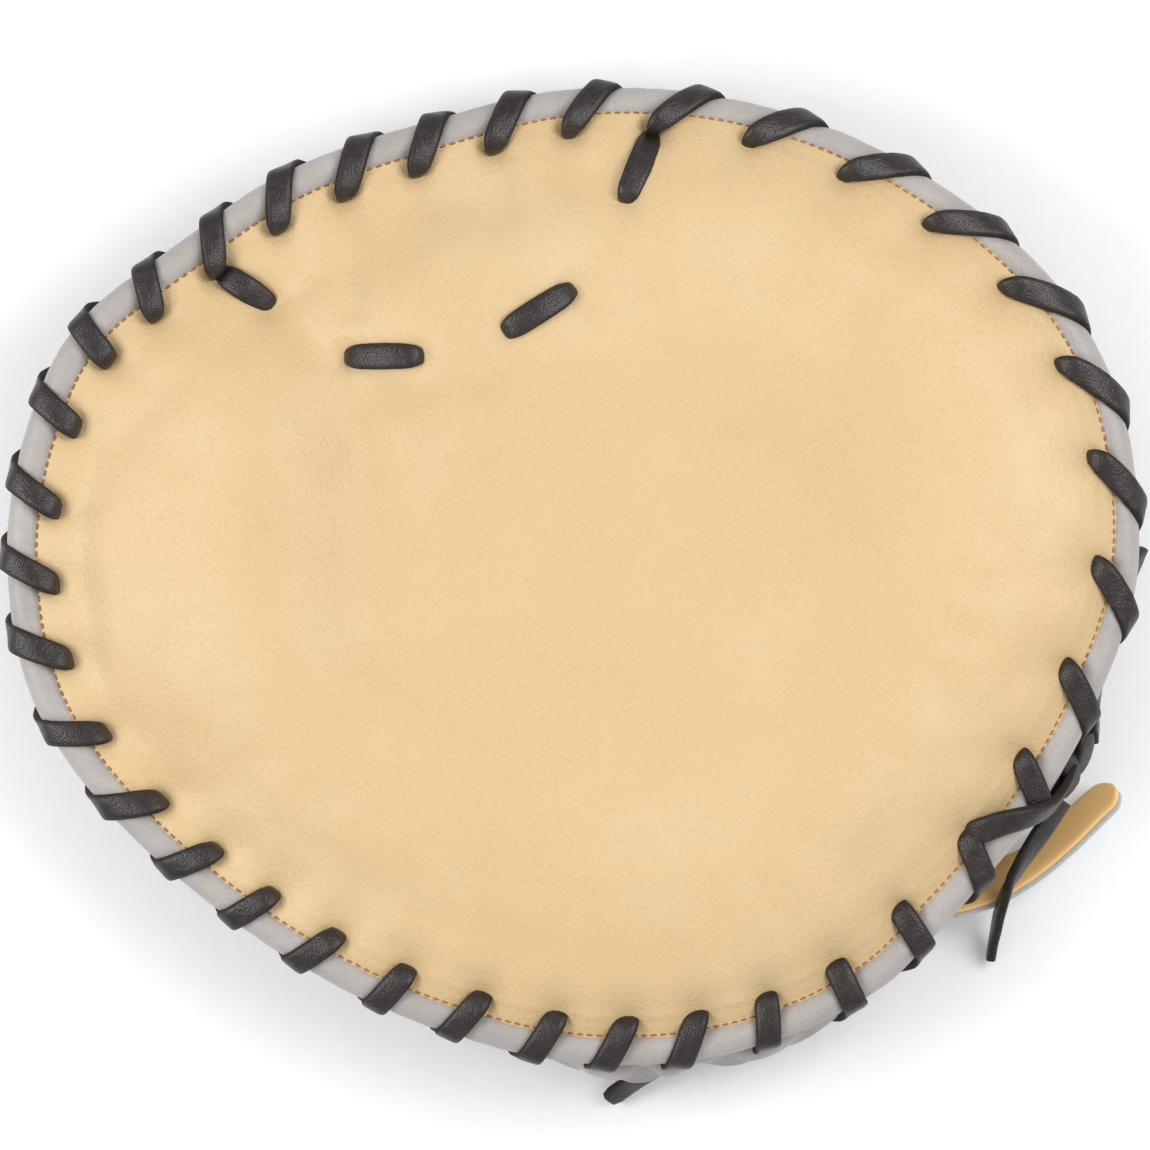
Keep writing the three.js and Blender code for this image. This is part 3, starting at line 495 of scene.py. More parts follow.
def between_holes(turn):
    """0 at a lace hole and 1 halfway between two."""
    turned = hole_ladder[0] + np.mod(turn - hole_ladder[0], 360)
    return np.sin(np.pi * np.interp(turned, hole_ladder, np.arange(HOLES + 1))) ** 2


def soft_noise(places, size, seed):
    """Smooth noise between about -1 and 1, with features of the given size in millimetres."""
    flat = np.asarray(places, float).reshape(-1, 3) / size + seed
    return np.array([noise.noise(p) for p in flat.tolist()]).reshape(np.shape(places)[:-1])


def palm_relief(turn, inset, place):
    """The fine relief's height at places on the palm, inset from the rim's outer edge."""
    flat = place[..., :2]
    relief = PUFF_HEIGHT * smooth(puff_rows, "turn", "puff", turn, 360) * between_holes(turn)
    relief = relief * hump(inset - PUFF_INSET, PUFF_BREADTH)
    for hole in hole_places:
        relief = relief - DIMPLE_DEPTH * hump(np.linalg.norm(flat - hole[:2], axis=-1), DIMPLE_BREADTH)
    for row in crease_rows:
        start = hole_places[row["hole"] - 1][:2]
        end = start * (1 - row["length"] / np.linalg.norm(start))
        away, along = distance_to_line(flat, start, end)
        fold = (1 - 0.8 * (away / PULL_BREADTH) ** 2) * hump(away, PULL_BREADTH * 1.2)
        relief = relief - row["depth"] * fold * (1 - along) ** 1.3
    for row in palm_lace_rows:
        away, _ = distance_to_line(flat, row["start"], row["end"])
        relief = relief - 0.5 * hump(away, 3.5)
        for end in (row["start"], row["end"]):
            relief = relief - 1.2 * hump(np.linalg.norm(flat - end, axis=-1), 3.2)
    relief = relief + BROAD_NOISE * soft_noise(place, 26, 3.1) + FINE_NOISE * soft_noise(place, 7, 8.7)
    relief = relief + HEEL_HEIGHT * smooth(heel_rows, "turn", "fill", turn, 360) * hump(
        inset - HEEL_INSET, HEEL_BREADTH)
    shoulder = inset - smooth(shoulder_rows, "turn", "inset", turn, 360)
    relief = relief + smooth(shoulder_rows, "turn", "rise", turn, 360) * (
        hump(shoulder, 5) - 0.9 * hump(shoulder + 7, 3.4))
    scallop = 0.8 * smooth(puff_rows, "turn", "puff", turn, 360) * between_holes(turn) * hump(inset - 7.2, 2.4)
    return relief * ease(inset, 5, 9) + scallop * ease(inset, 3.5, 6)


print("relief: puffs of", PUFF_HEIGHT, "mm between the holes, dimples of", DIMPLE_DEPTH, "mm at them")

# %% [markdown]
# Arithmetic can't guess how leather buckles between its holes, so a small cloth simulation does. A ring
# of coarse mesh is the palm's outer part. It is pinned at the lace holes and held softly farther in, it
# gets a little more leather than it has room for, and the felt presses it up. Twenty frames later it has
# settled. How far each point rose is capped, smoothed and kept as a table that the fine mesh reads.

# %% The palm's leather as cloth
CLOTH_COLUMNS, CLOTH_STEP, CLOTH_REACH, CLOTH_FRAMES = 240, 2.2, 60, 20
CLOTH_PRESSURE, CLOTH_SPARE, CLOTH_CAP, CLOTH_SHARE = 4, 0.025, 1.8, 0.6
PIN_BREADTH, SOFT_HOLD, SOFT_ZONE, FADE_ZONE = 4, 0.35, (22, 50), (35, 56)

cloth_insets = np.arange(HOLE_INSET - CLOTH_STEP, CLOTH_REACH, CLOTH_STEP)
cloth_turns = np.linspace(0, 360, CLOTH_COLUMNS, endpoint=False)


def cloth_start():
    """The ring of leather before it settles, as rings of points."""
    top_height = ROLL_CENTRE + PALM_EDGE_THICKNESS / 2
    reach = np.linalg.norm(palm_top(cloth_turns, np.zeros(CLOTH_COLUMNS))[:, :2], axis=-1)
    return np.stack([rim_place(cloth_turns, inset, top_height) if inset < LACE_FLANGE
                     else palm_top(cloth_turns, (inset - LACE_FLANGE) / reach) for inset in cloth_insets])


def cloth_hold(start):
    """How firmly each point is held: wholly at a hole and at both edges, softly away from the rim."""
    hold = SOFT_HOLD * ease(np.repeat(cloth_insets[:, None], CLOTH_COLUMNS, 1), *SOFT_ZONE)
    for hole in hole_places:
        near = hump(np.linalg.norm(start[..., :2] - hole[:2], axis=-1), PIN_BREADTH)
        hold = np.maximum(hold, np.where(near > 0.8, 1, near))
    hold[[0, -1]] = 1
    return hold


def add_cloth(ring):
    settings = ring.modifiers.new("Cloth", "CLOTH").settings
    settings.vertex_group_mass = "held"
    settings.quality = 8
    settings.mass = 0.05
    settings.bending_stiffness = 3
    settings.shrink_min = -CLOTH_SPARE
    settings.use_pressure = True
    settings.uniform_pressure_force = CLOTH_PRESSURE
    settings.effector_weights.gravity = 0
    ring.modifiers["Cloth"].point_cache.frame_end = CLOTH_FRAMES


def settle_leather():
    """A table of how far the leather rose, by inset and turn."""
    start = cloth_start()
    mesh = make_mesh("cloth_ring", start.reshape(-1, 3),
                     grid_faces(len(cloth_insets), CLOTH_COLUMNS, close_columns=True))
    ring = bpy.data.objects.new("cloth_ring", mesh)
    bpy.context.scene.collection.objects.link(ring)
    held = ring.vertex_groups.new(name="held")
    for index, firm in enumerate(cloth_hold(start).ravel().tolist()):
        held.add([index], firm, "REPLACE")
    add_cloth(ring)
    for frame in range(1, CLOTH_FRAMES + 1):
        bpy.context.scene.frame_set(frame)
    settled = ring.evaluated_get(bpy.context.evaluated_depsgraph_get()).data
    places = np.array([v.co[:] for v in settled.vertices]).reshape(start.shape) / MM
    bpy.data.objects.remove(ring)
    bpy.context.scene.frame_set(1)
    rise = np.clip((places - start)[..., 2], -CLOTH_CAP, CLOTH_CAP)
    for _ in range(2):
        rise = (np.roll(rise, 1, 1) + 2 * rise + np.roll(rise, -1, 1)) / 4
        rise[1:-1] = (rise[:-2] + 2 * rise[1:-1] + rise[2:]) / 4
    return CLOTH_SHARE * rise * (1 - ease(cloth_insets, *FADE_ZONE))[:, None]


def cloth_rise(turn, inset):
    """The settled leather's rise at any turn and inset."""
    column = np.mod(turn, 360) / 360 * CLOTH_COLUMNS
    row = np.clip((inset - cloth_insets[0]) / CLOTH_STEP, 0, len(cloth_insets) - 1.001)
    left, low = np.floor(column).astype(int), np.floor(row).astype(int)
    right = (left + 1) % CLOTH_COLUMNS
    outer = mix(cloth_table[low, left % CLOTH_COLUMNS], cloth_table[low, right], column - left)
    inner = mix(cloth_table[low + 1, left % CLOTH_COLUMNS], cloth_table[low + 1, right], column - left)
    return mix(outer, inner, row - low)


def leather_height(turn, inset, place):
    """What lies on the palm's broad form: the fine relief and the settled leather."""
    return palm_relief(turn, inset, place) + cloth_rise(turn, inset) * ease(inset, 8, 12)


cloth_table = settle_leather()
print("cloth: settled between", cloth_table.min().round(2), "and", cloth_table.max().round(2), "mm")

# %% [markdown]
# The palm's mesh is a table of rings from the rolled edge to the middle, close together near the edge
# where the relief is finest. A second, coarser table makes its felt underside, so that the palm is a
# real thickness and not a skin.

# %% The palm
PALM_COLUMNS, PALM_RINGS, UNDER_RINGS = 600, 84, 16
BAND_SMOOTHING = 60

palm_turns = np.linspace(0, 360, PALM_COLUMNS, endpoint=False)
band_insets = np.array([PANEL_EDGE, 4, 5.5, 6.3, 7, 8, 9, 10, 11])
dome_shares = np.linspace(0, 1, PALM_RINGS, endpoint=False) ** 1.35


def disc_faces(rings, columns, first, up):
    """Faces of a disc of rings with one middle point after them."""
    faces = grid_faces(rings, columns, close_columns=True, first=first).tolist()
    last, middle = first + (rings - 1) * columns, first + rings * columns
    faces += [[last + i, last + (i + 1) % columns, middle] for i in range(columns)]
    return faces if up else [f[::-1] for f in faces]


def wall_faces(columns, upper, lower):
    """The faces that join the edges of an upper and a lower surface."""
    ring = np.arange(columns)
    after = (ring + 1) % columns
    return np.stack([upper + ring, lower + ring, lower + after, upper + after], -1).tolist()


def palm_under(share):
    """One ring of the palm's felt underside."""
    face = palm_top(palm_turns, np.full(PALM_COLUMNS, share))
    wall = mix(PALM_EDGE_THICKNESS, PALM_PAD_THICKNESS, ease(share, 0, PAD_RAMP))
    face[:, 2] -= slanted(palm_top, palm_turns, np.full(PALM_COLUMNS, share), wall)
    return face


def make_palm():
    share, turn = np.meshgrid(dome_shares, palm_turns, indexing="ij")
    dome = palm_top(turn, share)
    dome_inset = LACE_FLANGE + share * np.linalg.norm(dome[0, :, :2], axis=-1)
    top_height = ROLL_CENTRE + PALM_EDGE_THICKNESS / 2
    band = rim_band(palm_turns, band_insets, top_height)
    band_inset = np.repeat(band_insets[:, None], PALM_COLUMNS, 1)
    top = np.concatenate([band, dome])
    inset = np.concatenate([band_inset, dome_inset])
    soft = (hump(inset - LACE_FLANGE, 7) * ease(inset, 6.5, 9))[1:-1, :, None]
    for _ in range(BAND_SMOOTHING):
        top[1:-1] = mix(top[1:-1], (top[:-2] + top[2:]) / 2, 0.8 * soft)
    top[..., 2] += leather_height(np.broadcast_to(palm_turns, inset.shape), inset, top)
    lower_height = ROLL_CENTRE - PALM_EDGE_THICKNESS / 2
    under = list(rim_band(palm_turns, (PANEL_EDGE, 7, 11), lower_height))
    under += [palm_under(s) for s in np.linspace(0, 1, UNDER_RINGS, endpoint=False)]
    middle = palm_top(np.array([0.0]), np.array([1.0]))
    below = top.shape[0] * PALM_COLUMNS + 1
    points = np.concatenate([top.reshape(-1, 3), middle, np.concatenate(under),
                             middle - [0, 0, PALM_PAD_THICKNESS]])
    faces = disc_faces(len(top), PALM_COLUMNS, 0, up=True)
    faces += disc_faces(len(under), PALM_COLUMNS, below, up=False)
    faces += wall_faces(PALM_COLUMNS, 0, below)
    return make_piece("palm", points, faces, palm_leather, ["palm_panel"])


palm = make_palm()

# %% [markdown]
# The shell and the rolls are a softer grey leather, drum dyed and printed with a fine even grain. The
# colour is flat and cool beside the tan, the pebbles are finer than the palm's, and the rolls
# show a little more sheen where they are stretched round the edge.

# %% Material of the grey leather
GREY_PEBBLE = 0.5


def make_grey_leather(name, dark, light, sheen_from, sheen_to):
    material, tree, output, places = new_material(name)
    clouds = add(tree, "ShaderNodeTexNoise", {"Vector": places, "Scale": 60, "Detail": 4, "Roughness": 0.6})
    grey = set_colours(add(tree, "ShaderNodeValToRGB", {"Fac": clouds.outputs["Fac"]}),
                       (0.3, dark), (0.7, light))
    pebbles = leather_grain(tree, places, GREY_PEBBLE, warp=0.2)
    # Painted shade: the grey is darkened a little in the valleys between the pebbles, where shade would fall.
    shade = add(tree, "ShaderNodeMapRange", {"Value": pebbles, "From Min": 0.2, "From Max": 0.8,
                                             "To Min": 1.0, "To Max": 0.9})
    shaded = add(tree, "ShaderNodeVectorMath", {0: grey.outputs["Color"], "Scale": shade.outputs["Result"]},
                 operation="SCALE")
    folds = add(tree, "ShaderNodeTexNoise", {"Vector": places, "Scale": 190, "Detail": 4, "Roughness": 0.6})
    height = add(tree, "ShaderNodeMath", {0: pebbles, 1: -0.8, 2: folds.outputs["Fac"]},
                 operation="MULTIPLY_ADD")
    bump = add(tree, "ShaderNodeBump", {"Height": height.outputs[0], "Strength": 0.4, "Distance": 0.1 * MM})
    rough = add(tree, "ShaderNodeMapRange", {"Value": clouds.outputs["Fac"], "To Min": sheen_from,
                                             "To Max": sheen_to})
    return finish_material(material, output, {
        "Base Color": shaded.outputs[0], "Roughness": rough.outputs["Result"], "IOR": 1.5,
        "Normal": bump.outputs["Normal"]})


roll_leather = make_grey_leather("drum_dyed_grey_leather", "#a39c96", "#b7b0aa", 0.4, 0.55)
shell_leather = make_grey_leather("grey_shell_leather", "#a49d97", "#bab3ad", 0.5, 0.66)
print("made", roll_leather.name, "and", shell_leather.name)

# %% [markdown]
# The two rolls are strips of that leather folded over the edges of the palm and of the shell. A closed
# tube with an oval section, led round the rim, gives them. Each lace bites into them, so the section
# shrinks under it and swells on both sides. At the heel the lower roll puffs out past the upper one.

# %% The rolls round the rim
ROLL_RINGS, ROLL_SIDES = 900, 28
LACE_BITE, BITE_BREADTH = 0.85, 3.3

heel_puff_rows = table("turn out", (0, 0), (264, 0), (268, 1.4), (272, 3.6), (276, 4.8), (279.5, 3.9),
                       (282.6, 1.5), (285.4, 2.9), (289, 3.3), (294, 2.2), (299, 0.5), (303, 0), (330, 0))


def tube_faces(rings, sides, first=0):
    return grid_faces(rings, sides, close_rows=True, close_columns=True, first=first)[:, ::-1].tolist()


def lace_bite(turn, angle, upper):
    """How much a lace presses the roll here: 1 right under it. Angle goes from the inner side, 0."""
    over = np.clip(angle / math.pi, 0, 1) * 0.7 + 0.3
    pressed = 0
    for hole in hole_numbers:
        here, there = hole_turn(hole), hole_turn(hole + 1)
        edge = mix(here, there, hole_turn(hole, "lean"))
        crossing = mix(here, edge, over) if upper else mix(there, edge, over)
        away = np.mod(turn - crossing + 180, 360) - 180
        pressed = pressed + hump(np.radians(away) * RIM_WIDTH / 2, BITE_BREADTH)
    return pressed


def make_roll(name, upper, replaces):
    turns = np.linspace(0, 360, ROLL_RINGS, endpoint=False)
    sides = np.linspace(0, 2 * math.pi, ROLL_SIDES, endpoint=False)
    turn, side = np.meshgrid(turns, sides, indexing="ij")
    facing = side if upper else 2 * math.pi - side
    outer = np.where(facing <= math.pi, facing, 0)
    bite = lace_bite(turn, outer, upper) * np.clip(np.sin(facing) + 0.35, 0, 1)
    swell = 1 - bite * LACE_BITE / (ROLL_HEIGHT / 2) + 0.05 * between_holes(turn)
    inset = ROLL_WIDTH / 2 + ROLL_WIDTH / 2 * np.cos(side) * mix(1, swell, 0.5)
    height = ROLL_HEIGHT / 2 * np.sin(side) * swell
    centre = ROLL_CENTRE if upper else -ROLL_CENTRE
    if not upper:
        pressed = np.clip(lace_bite(turn, outer, upper), 0, 1)
        out = smooth(heel_puff_rows, "turn", "out", turn, 360) * (1 - 0.75 * pressed)
        inset = inset - out * np.clip(1.2 - inset / ROLL_WIDTH, 0, 1)
        height = height - 0.45 * out * (1 - 0.5 * np.sin(side))
    points = rim_place(turn, inset, centre + height)
    ripple = 0.12 * soft_noise(points, 5, 1.7) + 0.05 * soft_noise(points, 2, 4.4)
    points = rim_place(turn, inset - ripple * -np.cos(side), centre + height + ripple * np.sin(side))
    return make_piece(name, points, tube_faces(ROLL_RINGS, ROLL_SIDES), roll_leather,
                      replaces)


make_roll("palm_roll", True, ["palm_binding"])
make_roll("back_roll", False, ["back_binding"])

# %% [markdown]
# The shell is the back of the glove: one sheet of grey leather from the rim down to the floor, where
# the glove's weight flattens it. The hand goes in through an oval opening with a rolled edge. Rings
# that turn slowly from the opening's outline into the rim's fit both edges exactly, which cutting a
# hole into a finished sheet would not.

# %% The back shell
BACK_THICKNESS = 2.4
OPENING = dict(x=51, y=-41.5, length=74, width=48, turn=27, blunt=0.92)
SHELL_COLUMNS, SHELL_RINGS = 400, 60

back_rows = table("in drop", (0, 0), (0.06, 0.16), (0.13, 0.4), (0.22, 0.66), (0.34, 0.88), (0.48, 1),
                  (1, 1))


def back_under(turn, share):
    """The shell's outer face: share runs from the laced band to the middle."""
    edge = rim_place(turn, LACE_FLANGE, -ROLL_CENTRE - BACK_THICKNESS / 2)
    place = edge * (1 - share)[..., None]
    place[..., 2] = np.maximum(edge[..., 2] * (1 - smooth(back_rows, "in", "drop", share)), 0)
    return place


def opening_place(angle, grow=0.0):
    """A flat place on the opening's outline, a blunt oval, moved outward by grow."""
    long = (OPENING["length"] / 2 + grow) * blunt(np.cos(angle), OPENING["blunt"])
    short = (OPENING["width"] / 2 + grow) * blunt(np.sin(angle), OPENING["blunt"])
    c, s = math.cos(math.radians(OPENING["turn"])), math.sin(math.radians(OPENING["turn"]))
    return np.stack([OPENING["x"] + long * c - short * s, OPENING["y"] + long * s + short * c], -1)


def make_shell():
    angles = np.linspace(0, 2 * math.pi, SHELL_COLUMNS, endpoint=False)
    inner = opening_place(angles)
    middle = np.array([OPENING["x"], OPENING["y"]])
    turns = np.linspace(0, 360, 1440, endpoint=False)
    edge = rim_place(turns, LACE_FLANGE, -ROLL_CENTRE)[:, :2] - middle
    edge_angle = np.unwrap(np.arctan2(edge[:, 1], edge[:, 0]))
    want = np.unwrap(np.arctan2(inner[:, 1] - middle[1], inner[:, 0] - middle[0]))
    want = edge_angle[0] + np.mod(want - edge_angle[0], 2 * math.pi)
    outer_turn = np.interp(want, np.append(edge_angle, edge_angle[0] + 2 * math.pi), np.append(turns, 360))
    outer = rim_place(outer_turn, LACE_FLANGE, -ROLL_CENTRE)[:, :2]
    flat = inner + (outer - inner) * np.linspace(0, 1, SHELL_RINGS)[:, None, None]
    turn, share = place_in_palm(flat[..., 0], flat[..., 1])
    low = back_under(turn, share)
    wall = slanted(back_under, turn, share, BACK_THICKNESS)
    near = ease(share, 0, 0.04)
    low_z, high_z = low[..., 2], low[..., 2] + mix(BACK_THICKNESS, wall, near)
    slack = 0.5 * soft_noise(np.dstack([flat, low_z]), 30, 5.5) * ease(low_z, 1, 8) * ease(share, 0, 0.1)
    lower = np.dstack([flat, low_z + slack])
    upper = np.dstack([flat, high_z + slack])
    insets = np.linspace(LACE_FLANGE, PANEL_EDGE, 7)[1:]
    lower = np.concatenate([lower, rim_band(outer_turn, insets, -ROLL_CENTRE - BACK_THICKNESS / 2)])
    upper = np.concatenate([upper, rim_band(outer_turn, insets, -ROLL_CENTRE + BACK_THICKNESS / 2)])
    rings, count = len(lower), lower.shape[0] * SHELL_COLUMNS
    faces = grid_faces(rings, SHELL_COLUMNS, close_columns=True).tolist()
    faces += grid_faces(rings, SHELL_COLUMNS, close_columns=True, first=count)[:, ::-1].tolist()
    faces += wall_faces(SHELL_COLUMNS, 0, count)
    last = (rings - 1) * SHELL_COLUMNS
    faces += [f[::-1] for f in wall_faces(SHELL_COLUMNS, last, count + last)]
    points = np.concatenate([lower.reshape(-1, 3), upper.reshape(-1, 3)])
    return make_piece("back_shell", points, faces, shell_leather, ["back_panel"])


make_shell()

# %% [markdown]
# The opening's edge is bound like the rim, with a thinner roll, so that it doesn't cut the wrist. Where
# the glove's weight rests on it, the roll is pressed flat.

# %% The opening's roll
OPENING_ROLL_WIDTH, OPENING_ROLL_HEIGHT, OPENING_ROLL_HOLD = 5.2, 4.7, 0.7
OPENING_RINGS, OPENING_SIDES = 300, 20


def make_opening_roll():
    angles = np.linspace(0, 2 * math.pi, OPENING_RINGS, endpoint=False)
    sides = np.linspace(0, 2 * math.pi, OPENING_SIDES, endpoint=False)
    angle, side = np.meshgrid(angles, sides, indexing="ij")
    grow = (OPENING_ROLL_HOLD - 0.5) * OPENING_ROLL_WIDTH
    core = opening_place(angle, grow)
    place = opening_place(angle, grow + OPENING_ROLL_WIDTH / 2 * np.cos(side))
    turn, share = place_in_palm(core[..., 0], core[..., 1])
    level = back_under(turn, share)[..., 2] + BACK_THICKNESS / 2
    points = np.dstack([place, level + OPENING_ROLL_HEIGHT / 2 * np.sin(side)])
    points += 0.1 * soft_noise(points, 6, 2.2)[..., None]
    points[..., 2] = np.maximum(points[..., 2], 0.05)
    return make_piece("opening_roll", points, tube_faces(OPENING_RINGS, OPENING_SIDES), roll_leather,
                      ["opening_binding"])


make_opening_roll()

# %% [markdown]
# The laces are rawhide: strips cut from a dyed, oiled hide, 5.6 mm wide. The grain side is black with a
# brown cast and a satin sheen where it bends, crackled finer than a hair. The cut sides are rough fibre
# and swallow the light, so an attribute on the mesh tells the shader which side a point is on.

# %% Material of the laces
LACE_CRACKLE = 0.45


def make_rawhide():
    material, tree, output, places = new_material("oiled_black_rawhide")
    cut = add(tree, "ShaderNodeAttribute", attribute_name="cut_edge")
    clouds = add(tree, "ShaderNodeTexNoise", {"Vector": places, "Scale": 500, "Detail": 4, "Roughness": 0.7})
    worn = set_colours(add(tree, "ShaderNodeValToRGB", {"Fac": clouds.outputs["Fac"]}),
                       (0.35, "#1b1512"), (0.75, "#362c27"))
    raw = set_colours(add(tree, "ShaderNodeValToRGB", {"Fac": clouds.outputs["Fac"]}),
                      (0.3, "#120d0b"), (0.75, "#2c221e"))
    tint = add(tree, "ShaderNodeMix", {"Factor": cut.outputs["Fac"], "A": worn.outputs["Color"],
                                       "B": raw.outputs["Color"]}, data_type="RGBA")
    crackle = leather_grain(tree, places, LACE_CRACKLE, warp=0.5)
    fibres = add(tree, "ShaderNodeTexNoise", {"Vector": places, "Scale": 2600, "Detail": 3, "Roughness": 0.8})
    height = add(tree, "ShaderNodeMix", {"Factor": cut.outputs["Fac"], "A": crackle,
                                         "B": fibres.outputs["Fac"]}, data_type="FLOAT")
    bump = add(tree, "ShaderNodeBump", {"Height": height.outputs[0], "Strength": 0.45, "Distance": 0.2 * MM},
               invert=True)
    rough = add(tree, "ShaderNodeMapRange", {"Value": cut.outputs["Fac"], "To Min": 0.34, "To Max": 0.9})
    return finish_material(material, output, {
        "Base Color": tint.outputs["Result"], "Roughness": rough.outputs["Result"], "IOR": 1.5,
        "Normal": bump.outputs["Normal"]})


rawhide = make_rawhide()
print("made", rawhide.name)

# %% [markdown]
# A lace is a flat strip with rounded corners led along stations. Each station has a place, the
# direction off its face and a width, and a smooth curve runs through them all. The strip pinches where
# it dives into a hole, which is what rounds off its visible end.

# %% How a lace is made
LACE_SIDES, LACE_STEPS, SHORT_LACE_STEPS = 16, 7, 6


def through(values, steps):
    """Points on the smooth curve through a table of points, so many to each gap."""
    values = np.asarray(values, float)
    rows = np.arange(len(values), dtype=float)
    at = np.linspace(0, len(values) - 1, (len(values) - 1) * steps + 1)
    columns = [smooth([{"at": r, "v": v} for r, v in zip(rows, column)], "at", "v", at) for column in values.T]
    return np.stack(columns, -1)


def strip(places, off, width, thick, sides=LACE_SIDES):
    """Rings of a rounded flat section along a line, and which points lie on its cut sides."""
    forward = unit(np.gradient(places, axis=0))
    side = unit(np.cross(forward, off))
    face = np.cross(side, forward)
    angle = np.linspace(0, 2 * math.pi, sides, endpoint=False) + math.pi / sides
    across = blunt(np.cos(angle), 0.45)
    up = blunt(np.sin(angle), 0.7)
    rings = (places[:, None] + side[:, None] * (across[None, :, None] * (width / 2)[:, None, None])
             + face[:, None] * (up[None, :, None] * (thick / 2)[:, None, None]))
    cut = np.clip((np.abs(across) - 0.86) / 0.1, 0, 1) * (np.abs(up) < 0.8)
    return rings, np.broadcast_to(cut, rings.shape[:2])


def lace_strip(line):
    """A strip of lace along stations of place, direction off the face and width."""
    return strip(line[:, :3], line[:, 3:6], line[:, 6], np.full(len(line), LACE_THICKNESS))


def strip_faces(rings, sides, first=0):
    faces = grid_faces(rings, sides, close_columns=True, first=first)[:, ::-1].tolist()
    return faces + [list(range(first, first + sides)),
                    list(range(first + (rings - 1) * sides, first + rings * sides))[::-1]]


def make_laces(name, strips, replaces, material=None):
    """One piece from several strips of lace."""
    points, faces, cuts = [], [], []
    for rings, cut in strips:
        faces += strip_faces(rings.shape[0], rings.shape[1], first=sum(len(p) for p in points))
        points.append(rings.reshape(-1, 3))
        cuts.append(cut.reshape(-1))
    points = np.concatenate(points)
    points = points + 0.06 * soft_noise(points, 1.6, 6.1)[:, None]
    piece = make_piece(name, points, faces, material or rawhide, replaces)
    attribute = piece.data.attributes.new("cut_edge", "FLOAT", "POINT")
    attribute.data.foreach_set("value", np.concatenate(cuts).astype(np.float32))
    return piece

# %% [markdown]
# The edge lace makes 35 turns round the rim. Pulled tight, it lies on the rolls and presses them in,
# and no two turns are quite alike: a seeded generator varies each one's width and lean a little.

# %% The lace round the rim
LACE_OVER = 5.75 - LACE_BITE + LACE_THICKNESS / 2
LACE_OUT = LACE_THICKNESS / 2 - 0.75 * LACE_BITE
FULL_END = 0.45
luck = np.random.default_rng(28)

lace_turn_rows = table(
    "in out up along wide",
    (1, 0, 0.3, 0, 0.5), (1, 0, 0.74, 0.02, 0.68), (0.87, 0, 0.98, 0.14, 0.93), (0.58, 0, 1.04, 0.38, 1),
    (0.27, 0, 0.99, 0.62, 1), (0.02, 0.3, 0.76, 0.84, 1), (0, 1, 0, 1, 1), (0.02, 0.3, -0.76, 1.16, 1),
    (0.27, 0, -0.99, 1.38, 1), (0.58, 0, -1.04, 1.62, 1), (0.87, 0, -0.98, 1.86, 0.93),
    (1, 0, -0.74, 1.98, 0.68), (1, 0, -0.3, 2, 0.5),
)


def lace_station(hole, row, lean, wide):
    full = FULL_END if 13 < (hole - 1) % HOLES + 1 < 36 else 0
    wide = wide * mix(row["wide"], 1, full)
    here, there = hole_turn(hole), hole_turn(hole + 1)
    edge = mix(here, there, hole_turn(hole, "lean") + lean)
    turn = mix(here, edge, row["along"]) if row["along"] < 1 else mix(edge, there, row["along"] - 1)
    inset = row["in"] * HOLE_INSET - row["out"] * LACE_OUT
    height = row["up"] * LACE_OVER
    place = rim_place(turn, inset, height)
    off = rim_direction(np.asarray(turn), inset - ROLL_WIDTH / 2, height)
    return [*place, *off, wide * LACE_WIDTH]


def make_edge_lace():
    stations = [lace_station(FIRST_HOLE - 1, row, 0, 1) for row in lace_turn_rows[9:]]
    for k in range(HOLES - 1):
        lean, wide = luck.normal(0, 0.03), luck.normal(1, 0.025)
        stations += [lace_station(FIRST_HOLE + k, row, lean, wide) for row in lace_turn_rows]
    stations += [lace_station(FIRST_HOLE + HOLES - 1, row, 0, 1) for row in lace_turn_rows[:8]]
    return make_laces("edge_lace_strip", [lace_strip(through(stations, LACE_STEPS))], ["edge_lace"])


make_edge_lace()

# %% [markdown]
# Four short stitches of the same lace show on the palm. They hold the felt and the web: each comes up
# through a hole, lies on the leather and goes down again.

# %% Laces across the palm
def palm_surface(place):
    """The height of the dressed palm at a flat place."""
    turn, share = place_in_palm(place[0], place[1])
    point = palm_top(np.atleast_1d(turn), np.atleast_1d(share))
    inset = LACE_FLANGE + share * np.linalg.norm(rim_place(turn, LACE_FLANGE, ROLL_CENTRE)[:2])
    return float(point[0, 2] + leather_height(np.atleast_1d(turn), np.atleast_1d(inset), point)[0])


def palm_lace(row):
    run = (row["end"] - row["start"]) / np.linalg.norm(row["end"] - row["start"])
    forward = np.array([run[0], run[1], 0])
    up = np.array([0, 0, 1])
    lift = LACE_THICKNESS / 2 - 0.1
    stations = []
    for share, beyond, height, off, wide in [
            (0, 0, -3.5, -forward, 0.5), (0, 0, -0.6, -forward, 0.62), (0, 0.8, lift * 0.8, up - forward, 0.82),
            (0, 2.8, lift, up, 0.98), (0.5, 0, lift, up, 1.02), (1, -2.8, lift, up, 0.96),
            (1, -0.8, lift * 0.8, up + forward, 0.78), (1, 0, -0.6, forward, 0.58), (1, 0, -3.5, forward, 0.5)]:
        place = mix(row["start"], row["end"], share) + run * beyond
        stations.append([*place, palm_surface(place) + height, *off, wide * LACE_WIDTH])
    return lace_strip(through(stations, SHORT_LACE_STEPS))


for row in palm_lace_rows:
    make_laces(row["name"] + "_strip", [palm_lace(row)], [row["name"]])

# %% [markdown]
# Where the lacing ends, one lace end crosses back over the rim, and both ends are knotted below it.
# The crossing lace starts in its own hole beside hole 17 and turns onto its edge as it reaches the
# knot. A knot is three short strips that lie across each other.

# %% Crossing lace and knots
LACE_LAYER = 2.9
KNOT_LENGTH, KNOT_STAGGER, KNOT_RINGS = 12, 1.5, 22
RIM_KNOT_TURN, HEEL_KNOT_TURN = 336.6, 284.6

